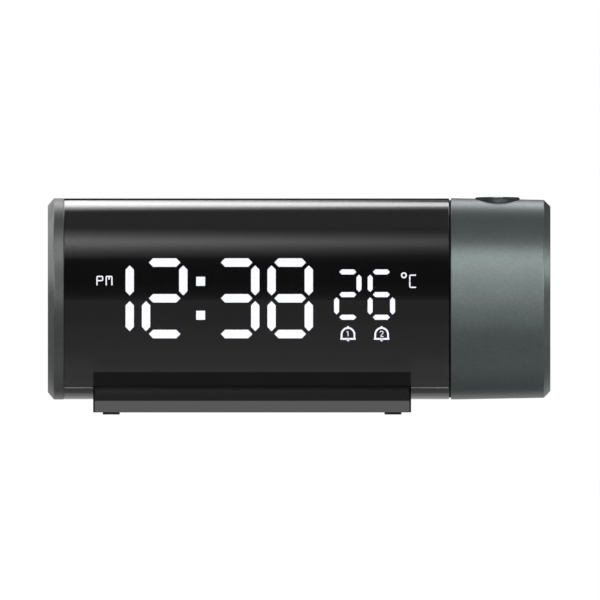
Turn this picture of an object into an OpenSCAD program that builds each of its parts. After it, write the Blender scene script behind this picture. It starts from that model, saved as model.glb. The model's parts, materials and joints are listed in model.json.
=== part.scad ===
// Projection alarm clock: a drum with a display window, a projector head that turns on its right end,
// and a low stand. The origin is on the table under the middle of the clock, X runs along the drum
// towards the head, and the display faces -Y.

/* [Drum] */
// Diameter of the drum
drum_d = 72; // [71.5:0.5:74]
// Length of the drum between the end cap and the head's gap
drum_len = 138.1; // [136:0.1:150]
// Height of the drum above the table
drum_clear = 4.6; // [4.5:0.1:6]
// Wall of the front window
window_wall = 2.0; // [1.6:0.1:2.4]
// Wall of the rear case
case_wall = 2.2; // [1.8:0.1:2.4]
// Window's upper edge, in degrees above the front
window_up = 80; // [70:1:86]
// Window's lower edge, in degrees below the front
window_down = 60.5; // [54:0.5:64]
// Gap of each seam between window and case
seam = 0.3; // [0.2:0.05:0.6]
// Reach of the case's lips under the window
lip_reach = 3.5; // [2:0.5:5]
// Thickness of those lips
lip_t = 1.3; // [1:0.1:1.8]

/* [Left end cap] */
// Length of the cap along the drum
cap_len = 5.8; // [5.4:0.1:8]
// Height that the cap and the head stand out from the drum
end_proud = 0.1; // [0:0.05:0.3]
// Length of the cap's chamfer along the drum
cap_chamfer = 2.2; // [1:0.1:2.8]
// Drop of the cap's chamfer towards the axis
cap_drop = 2.6; // [1:0.1:3.6]
// Wall of the cap
cap_wall = 2.0; // [1.6:0.1:2.4]
// Distance of the cap screws from the axis
cap_screw_r = 20; // [17:0.5:23]

/* [Bulkheads] */
// Thickness of each bulkhead disc
bulkhead_t = 2.6; // [2.4:0.1:3.2]
// Depth of each bulkhead inside the drum's end
bulkhead_inset = 0.3; // [0.2:0.1:0.8]
// Distance of the case screws above and below the axis
case_screw_z = 14; // [13.5:0.5:15]
// Side of the blocks that take the case screws
block_w = 9; // [8.6:0.2:9.4]
// Front face of those blocks, behind the axis
block_y = 20; // [19:0.5:21.5]
// Length of the case screws
case_screw_len = 8; // [6:0.5:8.5]
// Thickness of the ledges that hold the display frame
ledge_t = 1.4; // [1:0.1:1.8]
// Length of those ledges
ledge_len = 5; // [3:0.5:7]

/* [Projector head] */
// Gap between the drum and the head
head_gap = 0.6; // [0.4:0.1:1.2]
// Distance below the drum's surface of the end rim that hides this gap
rim_drop = 0.6; // [0.5:0.05:0.8]
// Thickness of that rim
rim_t = 0.6; // [0.4:0.1:0.6]
// Reach of that rim into the groove in the head's end
rim_reach = 0.3; // [0.2:0.1:0.5]
// Length of the head
head_len = 35.7; // [35:0.1:42]
// Amount that the head's radius shrinks towards its end
head_taper = 0.6; // [0.1:0.1:1]
// Size of the head's end chamfer
head_chamfer = 2.4; // [1:0.1:2.8]
// Wall of the head's shell
head_wall = 2.2; // [1.8:0.1:2.5]
// Distance from the head's inner end to the lens
lens_from_end = 16.7; // [16.4:0.1:18]
// Thickness of the head's base disc
base_t = 2.4; // [2.2:0.1:2.8]
// Depth of the base disc inside the shell
base_inset = 0.5; // [0.4:0.1:0.8]
// Radius of the hollow spigot that the head turns on
spigot_r = 11; // [10.5:0.5:12]
// Radius of the cable way through the spigot
cable_way_r = 6.5; // [6:0.1:6.8]
// Radius of the thrust collar, the washer and the retainer
collar_r = 15; // [14.5:0.5:16]
// Thickness of the friction washer
washer_t = 1.0; // [0.6:0.1:1.4]
// Thickness of the retainer ring
retainer_t = 2.0; // [1.6:0.1:3]
// Distance of the base screws from the base disc's rim
base_screw_edge = 4.2; // [4.2:0.1:5.6]
// Radius of the bosses that take the base screws
base_boss_r = 3; // [2.4:0.1:3.2]
// Distance of the stop peg from the axis
stop_r = 26; // [25:0.5:27]
// Diameter of the stop peg
stop_d = 4; // [3:0.5:5]
// Depth of the groove that the stop peg runs in
stop_groove = 1.5; // [1.2:0.1:1.6]
// Turn of the head to each side of straight up, in degrees
head_turn = 90; // [60:5:120]

/* [Projector optics] */
// Radius of the optics tube
tube_r = 12; // [11.6:0.1:12.3]
// Wall of the optics tube
tube_wall = 1.8; // [1.4:0.1:1.9]
// Bottom of the optics tube, below the axis
tube_bottom = 24; // [22.5:0.5:24.5]
// Top of the optics tube's wide part, above the axis
tube_top = 10; // [9:0.5:12]
// Thickness of the seats inside the tube
seat_t = 1.5; // [1:0.1:2]
// Depth that the tube and its mounting plate share
tube_merge = 1.2; // [0.8:0.1:1.5]
// Half the width of the mounting plate
mount_half = 14; // [13.9:0.1:15]
// Top of the mounting plate, above the axis
mount_top = 20; // [19.5:0.5:21]
// Distance of the optics screws from the plate's edges
mount_edge = 2.4; // [2.4:0.1:3]
// Radius of the lens barrel
barrel_r = 6; // [5.6:0.1:6.2]
// Length of the lens barrel
barrel_len = 23.2; // [20:0.1:24]
// Wall of the lens barrel
barrel_wall = 0.8; // [0.6:0.1:1]
// Reach of the rib that keeps the barrel from turning
rib_h = 0.8; // [0.5:0.1:0.9]
// Width of that rib
rib_w = 1.6; // [1:0.1:2]
// Wall of the neck that the barrel slides in
neck_wall = 1.15; // [1:0.05:1.3]
// Travel of the barrel to each side of its middle place
focus_travel = 1; // [0.5:0.1:1.2]
// Radius of the focus ring
ring_r = 8; // [7.9:0.1:8.6]
// Height of the focus ring above the head's crown
ring_proud = 0.55; // [0.4:0.05:1.5]
// Thickness of the focus ring's lip
ring_lip = 2.7; // [1.6:0.1:3]
// Reach of the flange that keeps the ring under the shell
ring_flange = 1.5; // [1.2:0.1:2]
// Thickness of that flange
ring_flange_t = 1.2; // [0.8:0.1:1.4]
// Thickness of the projection lens under its dome
lens_t = 1.7; // [1.2:0.1:3]
// Rise of the projection lens's dome
dome = 1.6; // [1:0.1:2]
// Depth of the dome's foot below the barrel's top
lens_sink = 0.35; // [0.2:0.05:1]
// Radius of the condenser lens's curved side
condenser_curve = 12.5; // [12:0.5:16]
// Height of the condenser lens
condenser_h = 6; // [5.5:0.5:8]
// Height of the condenser lens's seat, below the axis
condenser_z = 14; // [12:0.5:15]
// Side of the light window in the image panel's seat
image_window = 8; // [6:0.5:9]
// Side of the image panel
panel_side = 13; // [12:0.5:13.5]
// Thickness of the image panel
panel_t = 1.2; // [0.8:0.1:1.6]
// Thickness of the heat sink's plate
sink_t = 2.2; // [1.6:0.1:2.4]
// Height of the heat sink's fins
fin_h = 2.4; // [1.5:0.1:2.6]
// Pitch of the heat sink's fins
fin_pitch = 4; // [3:0.1:5]
// Thickness of the lamp's circuit board
lamp_board_t = 1.5; // [1:0.1:2]
// Side of the projector lamp
lamp_side = 3.5; // [3:0.1:5]
// Width of the head's circuit board
head_board_w = 22; // [18:0.5:22.5]
// Height of the head's circuit board
head_board_h = 14; // [12:0.5:16]
// Thickness of the head's circuit board
head_board_t = 1.2; // [1:0.1:1.3]
// Width of the cable's connector on that board
head_plug = 8; // [6:0.2:9]
// Width of the flex between that board and the lamp's
flex_w = 3.6; // [2:0.1:5]
// Thickness of that flex
flex_t = 0.3; // [0.2:0.05:0.6]

/* [Display] */
// Distance from the drum's front to the display's face
face_depth = 9; // [8.5:0.1:10]
// Depth of the display frame
frame_t = 6; // [4:0.5:6.5]
// Height of the display frame
frame_h = 34; // [33.6:0.1:35]
// Height of the display's middle above the axis
display_rise = 0.9; // [0:0.1:1.2]
// Thickness of the diffusers
diffuser_t = 1.2; // [0.8:0.1:2]
// Distance from the drum's left end to the first digit's middle
first_digit = 16.9; // [16.5:0.1:18]
// Pitch of the two digits of a pair
digit_pitch = 19.2; // [18.8:0.1:20]
// Pitch of the digits on the two sides of the colon
colon_pitch = 25.8; // [25:0.1:27]
// Distance between the upright segments of a large digit
digit_w = 13.34; // [12.5:0.01:13.6]
// Distance from the top to the middle segment of a large digit
digit_row = 12.6; // [12:0.1:12.8]
// Thickness of a large segment
segment_t = 3.0; // [2.4:0.1:3.2]
// Distance from a large segment's tips to the corners of its digit
tip_gap = 1.0; // [0.9:0.05:1.5]
// Distance from the last large digit to the first small one
small_gap = 20.65; // [20:0.05:21.5]
// Pitch of the small digits
small_pitch = 12.04; // [11.8:0.01:13]
// Height of the small digits' middle over the display's middle
small_rise = 1.3; // [0.8:0.1:2]
// Distance between the upright segments of a small digit
small_w = 8.04; // [7.6:0.01:8.4]
// Distance from the top to the middle segment of a small digit
small_row = 8.0; // [7.6:0.1:8.4]
// Thickness of a small segment
small_t = 1.8; // [1.4:0.1:2]
// Distance from a small segment's tips to the corners of its digit
small_tip_gap = 0.95; // [0.8:0.05:1.3]
// Side of a colon dot
dot = 3.2; // [2.4:0.1:3.6]
// Distance of each colon dot from the display's middle
dot_rise = 6.0; // [5:0.1:6.5]
// Height of the PM mark
pm_h = 3.6; // [3:0.1:4]
// Distance from the PM mark's left edge to the first digit's middle
pm_left = 5.4; // [5.4:0.1:6.5]
// Height of the PM mark's foot over the display's middle
pm_rise = 4.5; // [3.5:0.1:5]
// Height of the C mark
c_h = 4.85; // [4:0.05:6]
// Distance from the last small digit to the degree ring's middle
degree_gap = 8.1; // [7.8:0.1:9]
// Height of the degree ring's middle over the display's middle
degree_rise = 8.1; // [7:0.1:9]
// Radius of the degree ring
degree_r = 1.1; // [0.9:0.05:1.3]
// Width of an alarm bell
bell_w = 5.5; // [4.5:0.1:6]
// Distance of the bells' rims below the display's middle
bell_drop = 14.3; // [14:0.1:14.6]
// Stroke of the marks
stroke = 0.65; // [0.5:0.05:0.8]

/* [Rear panel] */
// Depth of the panel's floor below the drum's back
recess_depth = 7; // [6.5:0.1:7.5]
// Thickness of the panel's floor and side walls
floor_t = 2; // [1.8:0.1:2.2]
// Length of the recess
recess_len = 104; // [103:0.5:105]
// Height of the recess
recess_h = 27; // [26.8:0.1:28]
// Distance from the drum's middle to the recess's middle
recess_shift = 1.7; // [1.2:0.1:1.9]
// Thickness of the circuit boards
board_t = 1.6; // [1:0.1:2]
// Height of the main board
board_h = 30; // [29:0.5:32]
// Radius of the bosses that carry the main board
board_boss_r = 2.4; // [2:0.1:2.6]
// Distance of those bosses above and below the panel's middle
board_boss_z = 11; // [10.5:0.1:12]
// Travel of a key
key_travel = 0.5; // [0.3:0.05:0.6]
// Height of a key over the panel's floor
key_proud = 1.2; // [0.8:0.1:1.5]
// Radius of a round key
key_r = 3.2; // [2.8:0.1:3.4]
// Thickness of the flange that keeps a key in
key_flange_t = 1.0; // [0.8:0.1:1.2]
// Reach of that flange past the key
key_flange = 1.0; // [0.7:0.1:1.1]
// Thickness between a key's flange and the floor of its cup
cup_roof = 1.15; // [0.8:0.05:1.4]
// Depth of a key's cup, which reaches over its switch's plunger
cup_depth = 1.45; // [1.2:0.05:1.45]
// Wall of a key's cup
cup_wall = 0.75; // [0.6:0.05:0.9]
// Length of the snooze key between its round ends
snooze_len = 12; // [10:0.5:12.5]
// Radius of the snooze key's round ends
snooze_r = 4; // [3.2:0.1:4.4]
// Place of the snooze key, from the panel's middle
snooze_x = -17.5; // [-18:0.1:-16.5]
// Place of the middle round keys, from the panel's middle
keys_x = 10.5; // [10:0.1:11]
// Pitch of the round keys along the drum
key_pitch = 10; // [9.5:0.1:10.2]
// Distance of each key row from the panel's middle
key_row = 6; // [5.5:0.1:7]
// Side of a switch's body
switch_side = 6; // [5:0.1:6.2]
// Height of a switch's body
switch_h = 3.5; // [3:0.1:4]
// Radius of a switch's plunger
plunger_r = 1.75; // [1.5:0.05:2]
// Height of a switch's plunger
plunger_h = 1.5; // [1.5:0.05:2]
// Place of the battery lid, from the panel's middle
lid_x = 37.5; // [37.3:0.1:38]
// Radius of the battery lid
lid_r = 12; // [11.8:0.05:12.1]
// Reach of the lid's lugs past its rim
lug = 1.2; // [1:0.05:1.3]
// Thickness of the lid's lugs
lug_t = 1.1; // [0.8:0.1:1.2]
// Width of a lug, in degrees
lug_w = 30; // [24:1:36]
// Turn that opens the battery lid, in degrees
lid_turn = 60; // [50:5:65]
// Length of the coin slot in the lid
slot_len = 14; // [8:0.5:18]
// Width of the coin slot
slot_w = 1.6; // [1.2:0.1:2]
// Diameter of the coin cell
cell_d = 20; // [16:0.1:20]
// Thickness of the coin cell
cell_t = 3.2; // [2.5:0.1:3.4]
// Wall of the battery holder
holder_wall = 1.5; // [1:0.1:1.8]
// Place of the power socket, from the panel's middle
socket_x = -46.5; // [-48:0.1:-45.8]
// Width of the power socket
socket_w = 9; // [8:0.1:10]
// Height of the power socket
socket_t = 3.2; // [3:0.1:3.6]
// Wall of the power socket's shell
socket_wall = 0.35; // [0.3:0.05:0.5]
// Place of the buzzer, from the panel's middle
buzzer_x = -35.5; // [-36.5:0.1:-35.3]
// Diameter of the buzzer
buzzer_d = 12; // [10:0.5:12]
// Gap between the buzzer and the panel
buzzer_gap = 0.5; // [0.3:0.1:1]
// Distance of the outer sound holes from the middle one
sound_r = 3; // [2.5:0.1:4]
// Diameter of a sound hole
sound_d = 1.2; // [0.8:0.1:1.6]
// Width of the display's ribbon
ribbon_w = 16; // [12:0.5:18]
// Place of the ribbon, from the drum's middle
ribbon_x = -7; // [-8:0.5:0]
// Distance of the ribbon below the axis
ribbon_drop = 13; // [12:0.1:13.2]
// Height of the ribbon's connectors
plug_h = 2.4; // [2:0.1:4]
// Radius of the cable to the head
cable_r = 1.5; // [1:0.1:2]
// Height of that cable's connector
cable_plug_h = 4; // [3:0.1:5]
// Radius of that cable's bend
cable_bend = 7; // [5:0.5:8]

/* [Circuit parts] */
// Side of the processor chip
chip_side = 12; // [10:0.5:12]
// Thickness of that chip
chip_t = 1.2; // [0.8:0.1:1.6]
// Pitch of the chip's pins
pin_pitch = 1.2; // [1:0.05:1.25]
// Length of those pins
pin_len = 1.2; // [0.9:0.1:1.5]
// Radius of the capacitors
capacitor_r = 2.2; // [1.5:0.1:2.4]
// Height of the capacitors
capacitor_h = 6; // [4:0.5:7]
// Pitch of the capacitors
capacitor_pitch = 6; // [5:0.5:7]
// Height of the capacitors' row above the axis
capacitor_row = 8; // [6:0.5:9]
// Length of the resistors
resistor_len = 2; // [1:0.1:2.5]
// Pitch of the resistors
resistor_pitch = 4; // [3:0.5:4.5]
// Distance of the resistors' row below the axis
resistor_row = 9; // [8:0.5:9.5]
// Depth of the ribbon's connectors
plug_d = 3; // [2:0.1:3.2]
// Width of the head cable's connector
cable_plug_w = 8; // [5:0.5:9]
// Depth of the head cable's connector
cable_plug_d = 6; // [5:0.5:8]

/* [Stand] */
// Length of the stand
stand_len = 114; // [110:1:120]
// Distance from the drum's middle to the stand's middle
stand_shift = -1.6; // [-4:0.1:4]
// Height of the stand's lips above the drum's lowest line
lip_up = 10.55; // [9:0.05:12]
// Thickness of a lip at its top
lip_top = 2.0; // [1.6:0.1:2.5]
// Amount that a lip's outer face leans out down to the crease
lip_flare = 0.3; // [0:0.1:1]
// Height of the crease above the drum's lowest line
crease_up = 5.7; // [5:0.1:6.5]
// Reach of the shoulder from the crease to its front edge
shoulder = 4.5; // [3.8:0.1:6]
// Height of the shoulder's front edge above the drum's lowest line
ridge_up = 0.25; // [-0.4:0.05:0.8]
// Reach of the skirt past the shoulder's front edge
skirt = 1.9; // [0.5:0.1:2.5]
// Wall of the stand
stand_wall = 2; // [1.6:0.1:2.05]
// Bevel of the stand's ends
stand_bevel = 0.6; // [0.3:0.1:1]
// Clearance between the stand and the drum
saddle_gap = 0.2; // [0.1:0.05:0.25]
// Thickness of the stand's bottom plate
plate_t = 1.4; // [1.2:0.05:1.6]
// Head height of the flat screws that hold the plate
plate_head_h = 0.8; // [0.6:0.1:1]
// Height of the feet
foot_h = 0.75; // [0.6:0.05:0.9]
// Width of a foot along the drum
foot_w = 6.1; // [5:0.1:9]
// Depth of a foot
foot_d = 14; // [12:0.5:18]
// Distance of a foot's middle from the stand's end
foot_inset = 6.5; // [6:0.1:8]
// Distance of the stand screws from the stand's middle
stand_screw_x = 37; // [30:0.5:42]
// Length of the stand screws
stand_screw_len = 9; // [8:0.5:10]
// Height of the bosses inside the case that take the stand screws
stand_boss_h = 7; // [6.5:0.1:9]

/* [Screws] */
// Shank radius of the small screws
small_shank = 0.95; // [0.8:0.05:1.05]
// Head radius of the small screws
small_head = 1.9; // [1.6:0.1:2]
// Head height of the small screws
small_head_h = 1.2; // [1:0.1:1.3]
// Shank radius of the case and stand screws
large_shank = 1.4; // [1.2:0.05:1.5]
// Head radius of the case and stand screws
large_head = 2.5; // [2.3:0.1:2.6]
// Head height of the case and stand screws
large_head_h = 1.5; // [1.2:0.1:1.5]
// Depth that the cap screws reach into the cap's bosses
cap_bite = 3; // [2:0.5:4]
// Depth that the board screws reach into the case's bosses
board_bite = 4.5; // [3:0.5:5]
// Depth that the plate screws reach past the plate's outer half
plate_bite = 2.5; // [1.5:0.5:3]
// Depth that the base screws reach into the shell's bosses
base_bite = 5.8; // [4:0.2:7]
// Depth that the retainer screws reach into the spigot
retainer_bite = 4; // [3:0.5:4]
// Height of the material under a sunk screw head
head_seat = 1.6; // [1.4:0.1:2]

/* [Clearances] */
// Clearance between pieces that are fixed to each other
fit = 0.1; // [0.05:0.01:0.12]
// Radial clearance of a running fit
run = 0.05; // [0.03:0.01:0.08]
// Clearance between pieces that move past each other
free = 0.3; // [0.25:0.01:0.33]

/* [Hidden] */
$fn = 96;
eps = 0.01;

// Places along X
x_left = -(cap_len + drum_len + head_gap + head_len) / 2;
x_drum = x_left + cap_len;
x_drum_end = x_drum + drum_len;
x_middle = (x_drum + x_drum_end) / 2;
x_inner = x_drum + bulkhead_inset + bulkhead_t;
x_inner_end = x_drum_end - bulkhead_inset - bulkhead_t;
x_bulk_face = x_drum_end - bulkhead_inset;
inner_len = x_inner_end - x_inner;
x_head = x_drum_end + head_gap;
x_right = x_head + head_len;
x_lens = x_head + lens_from_end;

// The drum
drum_r = drum_d / 2;
axis_h = drum_clear + drum_r;
end_r = drum_r + end_proud;
window_in = drum_r - window_wall;
case_in = drum_r - case_wall;
case_mid = drum_r - case_wall / 2;
rim_r = drum_r - rim_drop;
lip_r = window_in - fit;
bulkhead_r = min(window_in, case_in) - fit;
a_top = 180 - window_up;
a_bottom = 180 + window_down;
a_seam = seam / drum_r * 180 / PI;
a_lip = lip_reach / lip_r * 180 / PI;
cap_angles = [90, 225, 315];

// The case screws run forwards into a block on each bulkhead
seat_y = sqrt(pow(drum_r, 2) - pow(case_screw_z + large_head, 2)) - large_head_h - 0.2;
pad_y = seat_y - head_seat;
x_block = [x_inner + block_w / 2, x_inner_end - block_w / 2];

// The head
head_end_r = end_r - head_taper;
head_in = head_end_r - head_wall;
shell_floor = x_right - head_wall;
base_r = head_in - fit;
base_screw_off = (base_r - base_screw_edge) / sqrt(2);
x_base = x_head + base_inset;
x_mount = x_base + base_t;
x_washer = x_inner_end - free - washer_t;
x_retainer = x_washer - retainer_t;
retainer_screw_r = (spigot_r + cable_way_r) / 2;
stop_a = head_turn + asin((stop_d / 2 + free) / stop_r);

// The optical column, in heights over the axis
crown = end_r - head_taper * lens_from_end / (head_len - head_chamfer);
tube_in = tube_r - tube_wall;
neck_in = barrel_r + run;
neck_r = neck_in + neck_wall;
ring_in = neck_r + run;
ring_top = crown + ring_proud;
neck_top = ring_top - ring_lip - free;
ring_flange_r = ring_r + ring_flange;
flange_top = sqrt(pow(head_in, 2) - pow(ring_flange_r, 2)) - free;
barrel_top = ring_top - focus_travel - fit;
barrel_bottom = barrel_top - barrel_len;
barrel_in = barrel_r - barrel_wall;
lens_seat = barrel_len - lens_sink - lens_t;
panel_z = 1;
lamp_z = lamp_board_t - tube_bottom;
mount_t = x_lens - tube_r + tube_merge - x_mount;
mount_screw_y = mount_half - mount_edge;
mount_screw_z = [mount_edge - tube_bottom, mount_top - mount_edge];
x_head_board = x_mount + fit;
x_head_plug = x_base + free;

// The display
face_y = drum_r - face_depth;
frame_back = face_y - frame_t;
board_back = frame_back - board_t;
frame_x = x_inner + fit;
frame_len = inner_len - 2 * fit;
digit_x = [for (i = [0:3]) x_drum + first_digit + ceil(i / 2) * digit_pitch + (i > 1 ? colon_pitch : 0)];
small_x = [for (i = [0, 1]) digit_x[3] + small_gap + i * small_pitch];
x_colon = (digit_x[1] + digit_x[2]) / 2;
frame_screws = [for (x = [frame_x + 2.8, x_colon, frame_x + frame_len - 3], s = [-1, 1])
    [x, s * (frame_h / 2 - 2.6)]];

// The segments of each digit, and those that are lit for 12:38 and 26
large_has = ["abcdeg", "abcdefg", "abcdefg", "abcdefg"];
large_lit = ["bc", "abdeg", "abcdg", "abcdefg"];
small_has = ["abcdefg", "abcdefg"];
small_lit = ["abdeg", "acdefg"];

function holds(name, letter) = len(search(letter, name)) > 0;

// Each segment's letter, place and turn in a digit of half height row and width w
function letters(w, row) = [["a", 0, row, 0], ["b", w / 2, row / 2, 90], ["c", w / 2, -row / 2, 90],
    ["d", 0, -row, 0], ["e", -w / 2, -row / 2, 90], ["f", -w / 2, row / 2, 90], ["g", 0, 0, 0]];

// One digit's segments as [x, y, turn, length, thickness, lit]
function digit(x, y, w, row, gap, t, has, lit) = [for (p = letters(w, row)) if (holds(has, p[0]))
    [x + p[1], y + p[2], p[3], (p[3] == 0 ? w : row) - 2 * gap, t, holds(lit, p[0])]];

segments = concat(
    [for (i = [0:3], s = digit(digit_x[i], 0, digit_w, digit_row, tip_gap, segment_t,
        large_has[i], large_lit[i])) s],
    [for (i = [0, 1], s = digit(small_x[i], small_rise, small_w, small_row, small_tip_gap, small_t,
        small_has[i], small_lit[i])) s]);

// The rear panel, from its floor inwards
x_panel = x_middle + recess_shift;
floor_y = drum_r - recess_depth;
floor_in = floor_y - floor_t;
flange_y = floor_in - free;
cup_floor_y = flange_y - key_flange_t - cup_roof;
cup_y = cup_floor_y - cup_depth;
plunger_y = cup_floor_y - key_travel - run;
switch_y = plunger_y - plunger_h;
board_y = switch_y - switch_h;
board_front = board_y - board_t;
cup_r = plunger_r + 2 * run;
board_x = x_block[0] + block_w / 2 + 0.5;
board_len = x_block[1] - block_w / 2 - 0.5 - board_x;
boss_x = [x_panel - recess_len / 2, x_panel + recess_len / 2];
holder_h = floor_in - 2 * free - lug_t - board_y;
cell_y = board_y + holder_h - free - cell_t;
x_snooze = x_panel + snooze_x;
x_keys = [for (i = [-1:1]) x_panel + keys_x + i * key_pitch];
x_lid = x_panel + lid_x;
x_socket = x_panel + socket_x;
x_buzzer = x_panel + buzzer_x;
x_ribbon = x_middle + ribbon_x;
x_cable = board_x + board_len - 6;
key_places = concat([[x_snooze, 0]], [for (x = x_keys, s = [-1, 1]) [x, s * key_row]]);

// The stand, in heights over the table
x_stand = x_middle + stand_shift;
saddle_r = drum_r + saddle_gap;
saddle_under = axis_h - saddle_r - stand_wall;
stand_tip = saddle_under + stand_screw_len;
lip_z = drum_clear + lip_up;
crease_z = drum_clear + crease_up;
ridge_z = drum_clear + ridge_up;
lip_y = sqrt(pow(saddle_r, 2) - pow(axis_h - lip_z, 2)) + lip_top;
crease_y = lip_y + lip_flare;
ridge_y = crease_y + shoulder;
skirt_y = ridge_y + skirt;
plate_y = ridge_y - stand_wall;
plate_len = stand_len - 2 * stand_wall;
plate_z = foot_h + plate_t;
// The front half of the stand's outline, from the bottom up to the lip
stand_half = [[skirt_y, foot_h], [ridge_y, ridge_z], [crease_y, crease_z], [lip_y, lip_z]];
// The same half of the hollow under the saddle
hollow_half = [[plate_y, 0], [plate_y, ridge_z - stand_wall / 2],
    [crease_y - stand_wall, crease_z - stand_wall / 2]];
x_feet = [x_stand - stand_len / 2 + foot_inset, x_stand + stand_len / 2 - foot_inset];
plate_screw_y = skirt_y - foot_d / 2;

// ---- Placing and shared shapes ----

// Lays a solid that stands on Z along the drum, starting at x, with 0 degrees at the back, 90 at the top
module along_x(x) translate([x, 0, axis_h]) rotate([90, 0, 90]) children();

// Points a solid that stands on Z to the back, from depth y, at place x and height z over the axis
module along_y(x, y, z) translate([x, y, axis_h + z]) rotate([-90, 0, 0]) children();

// Points a solid that stands on Z to the front, from depth y
module to_front(x, y, z) translate([x, y, axis_h + z]) rotate([90, 0, 0]) children();

// Stands a solid on the lens's axis, at height z over the drum's axis
module on_lens(z) translate([x_lens, 0, axis_h + z]) children();

// Extrudes a flat outline on the display, from depth y forwards by t
module on_display(y, t) to_front(0, y, display_rise) linear_extrude(height = t) children();

module tube(r_out, r_in, h) difference() {
    cylinder(r = r_out, h = h);
    translate([0, 0, -eps]) cylinder(r = r_in, h = h + 2 * eps);
}

// A wall that follows a circle from angle a0 to a1
module arc_wall(r_in, r_out, h, a0, a1) rotate([0, 0, a0])
    rotate_extrude(angle = a1 - a0) translate([r_in, 0]) square([r_out - r_in, h]);

// A slab with round ends, len apart, or a disc where len is 0
module stadium(len, r, h) {
    translate([-len / 2, 0, 0]) cylinder(r = r, h = h);
    if (len > 0) {
        translate([-len / 2, -r, 0]) cube([len, 2 * r, h]);
        translate([len / 2, 0, 0]) cylinder(r = r, h = h);
    }
}

// A cube that is centred across X and Y and stands on Z
module block(x, y, z) translate([-x / 2, -y / 2, 0]) cube([x, y, z]);

// A screw with its head over z = 0 and its shank below, and a cross in the head
module screw(shank, len, head, head_h) difference() {
    union() {
        cylinder(r = head, h = head_h);
        translate([0, 0, -len]) cylinder(r = shank, h = len + eps);
    }
    for (a = [0, 90]) rotate([0, 0, a]) translate([0, 0, head_h / 2])
        block(head * 1.2, head * 0.25, head_h);
}

module small_screw(len) screw(small_shank, len, small_head, small_head_h);
module large_screw(len) screw(large_shank, len, large_head, large_head_h);

// ---- Drum ----

module front_window() color([0.05, 0.05, 0.06]) {
    along_x(x_drum) arc_wall(window_in, drum_r, drum_len, a_top, a_bottom);
    end_rim(a_top, a_bottom);
}

// The rim on the drum's right end, which runs in a groove of the head and hides the gap
module end_rim(a0, a1) along_x(x_drum_end - eps)
    arc_wall(rim_r - rim_t, rim_r, head_gap + rim_reach + eps, a0, a1);

// The recess's room, grown to the sides by wall, from depth y to beyond the drum's back
module recess_room(y, wall) translate([x_panel - recess_len / 2 - wall, y, axis_h - recess_h / 2 - wall])
    cube([recess_len + 2 * wall, drum_r, recess_h + 2 * wall]);

module rear_case() color([0.07, 0.07, 0.07]) difference() {
    union() {
        along_x(x_drum) arc_wall(case_in, drum_r, drum_len, a_bottom + a_seam - 360, a_top - a_seam);
        end_rim(a_bottom + a_seam - 360, a_top - a_seam);
        intersection() {
            union() {
                recess_room(floor_in, floor_t);
                for (x = x_block, s = [-1, 1]) along_y(x, pad_y, s * case_screw_z)
                    cylinder(r = block_w / 2 - free, h = drum_r);
            }
            along_x(x_drum) cylinder(r = case_mid, h = drum_len);
        }
        for (a = [a_top, a_bottom]) along_x(x_inner + fit)
            arc_wall(lip_r - lip_t, lip_r, inner_len - 2 * fit, a - a_lip, a + a_lip);
        for (x = boss_x, s = [-1, 1]) along_y(x, board_y, s * board_boss_z)
            cylinder(r = board_boss_r, h = floor_in - board_y + eps);
        for (s = [-1, 1]) translate([x_stand + s * stand_screw_x, 0, drum_clear + case_wall / 2])
            cylinder(r = large_shank + head_seat, h = stand_boss_h);
    }
    recess_room(floor_y, 0);
    for (x = x_block, s = [-1, 1]) {
        along_y(x, pad_y - 1, s * case_screw_z) cylinder(r = large_shank + free, h = head_seat + 2);
        along_y(x, seat_y, s * case_screw_z) cylinder(r = large_head + free, h = drum_r);
    }
    for (x = boss_x, s = [-1, 1]) along_y(x, board_y - 1, s * board_boss_z)
        cylinder(r = small_shank + run, h = board_bite + 1.5);
    for (s = [-1, 1]) translate([x_stand + s * stand_screw_x, 0, 0])
        cylinder(r = large_shank + run, h = stand_tip + free);
    panel_holes();
}

// Holes in the recess's floor
module panel_holes() {
    for (p = key_places) if (p[0] != x_snooze) along_y(p[0], floor_in - 1, p[1])
        cylinder(r = key_r + free, h = floor_t + 2);
    along_y(x_snooze, floor_in - 1, 0) stadium(snooze_len, snooze_r + free, floor_t + 2);
    along_y(x_socket, floor_in - 1, 0) rotate([0, 0, 90])
        stadium(socket_w - socket_t, socket_t / 2 + fit, floor_t + 2);
    along_y(x_buzzer, floor_in - 1, 0) {
        cylinder(d = sound_d, h = floor_t + 2);
        for (a = [0:60:300]) rotate([0, 0, a]) translate([sound_r, 0, 0])
            cylinder(d = sound_d, h = floor_t + 2);
    }
    along_y(x_lid, floor_in - 1, 0) {
        cylinder(r = lid_r + run, h = floor_t + 2);
        for (a = [lid_turn, lid_turn + 180])
            arc_wall(lid_r - 1, lid_r + lug + free, floor_t + 2, a - lug_w / 2 - 2, a + lug_w / 2 + 2);
    }
}

module left_end_cap() color([0.42, 0.43, 0.43]) along_x(x_left) {
    rotate_extrude() polygon([[0, 0], [end_r - cap_drop, 0], [end_r, cap_chamfer], [end_r, cap_len],
        [end_r - cap_wall, cap_len], [end_r - cap_wall, cap_chamfer + cap_wall / 2],
        [end_r - cap_drop - cap_wall / 2, cap_wall], [0, cap_wall]]);
    for (a = cap_angles) rotate([0, 0, a]) translate([cap_screw_r, 0, cap_wall - eps])
        tube(small_shank + 2 * run + 2, small_shank + run, cap_len + bulkhead_inset - cap_wall + eps);
}

module left_bulkhead() color([0.16, 0.16, 0.16]) difference() {
    union() {
        along_x(x_drum + bulkhead_inset) cylinder(r = bulkhead_r, h = bulkhead_t);
        case_blocks(x_block[0]);
        frame_ledges(x_inner - eps);
    }
    for (a = cap_angles) along_x(x_drum) rotate([0, 0, a]) translate([cap_screw_r, 0, 0])
        cylinder(r = small_shank + run, h = bulkhead_t + 1);
    case_bores(x_block[0]);
}

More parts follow.
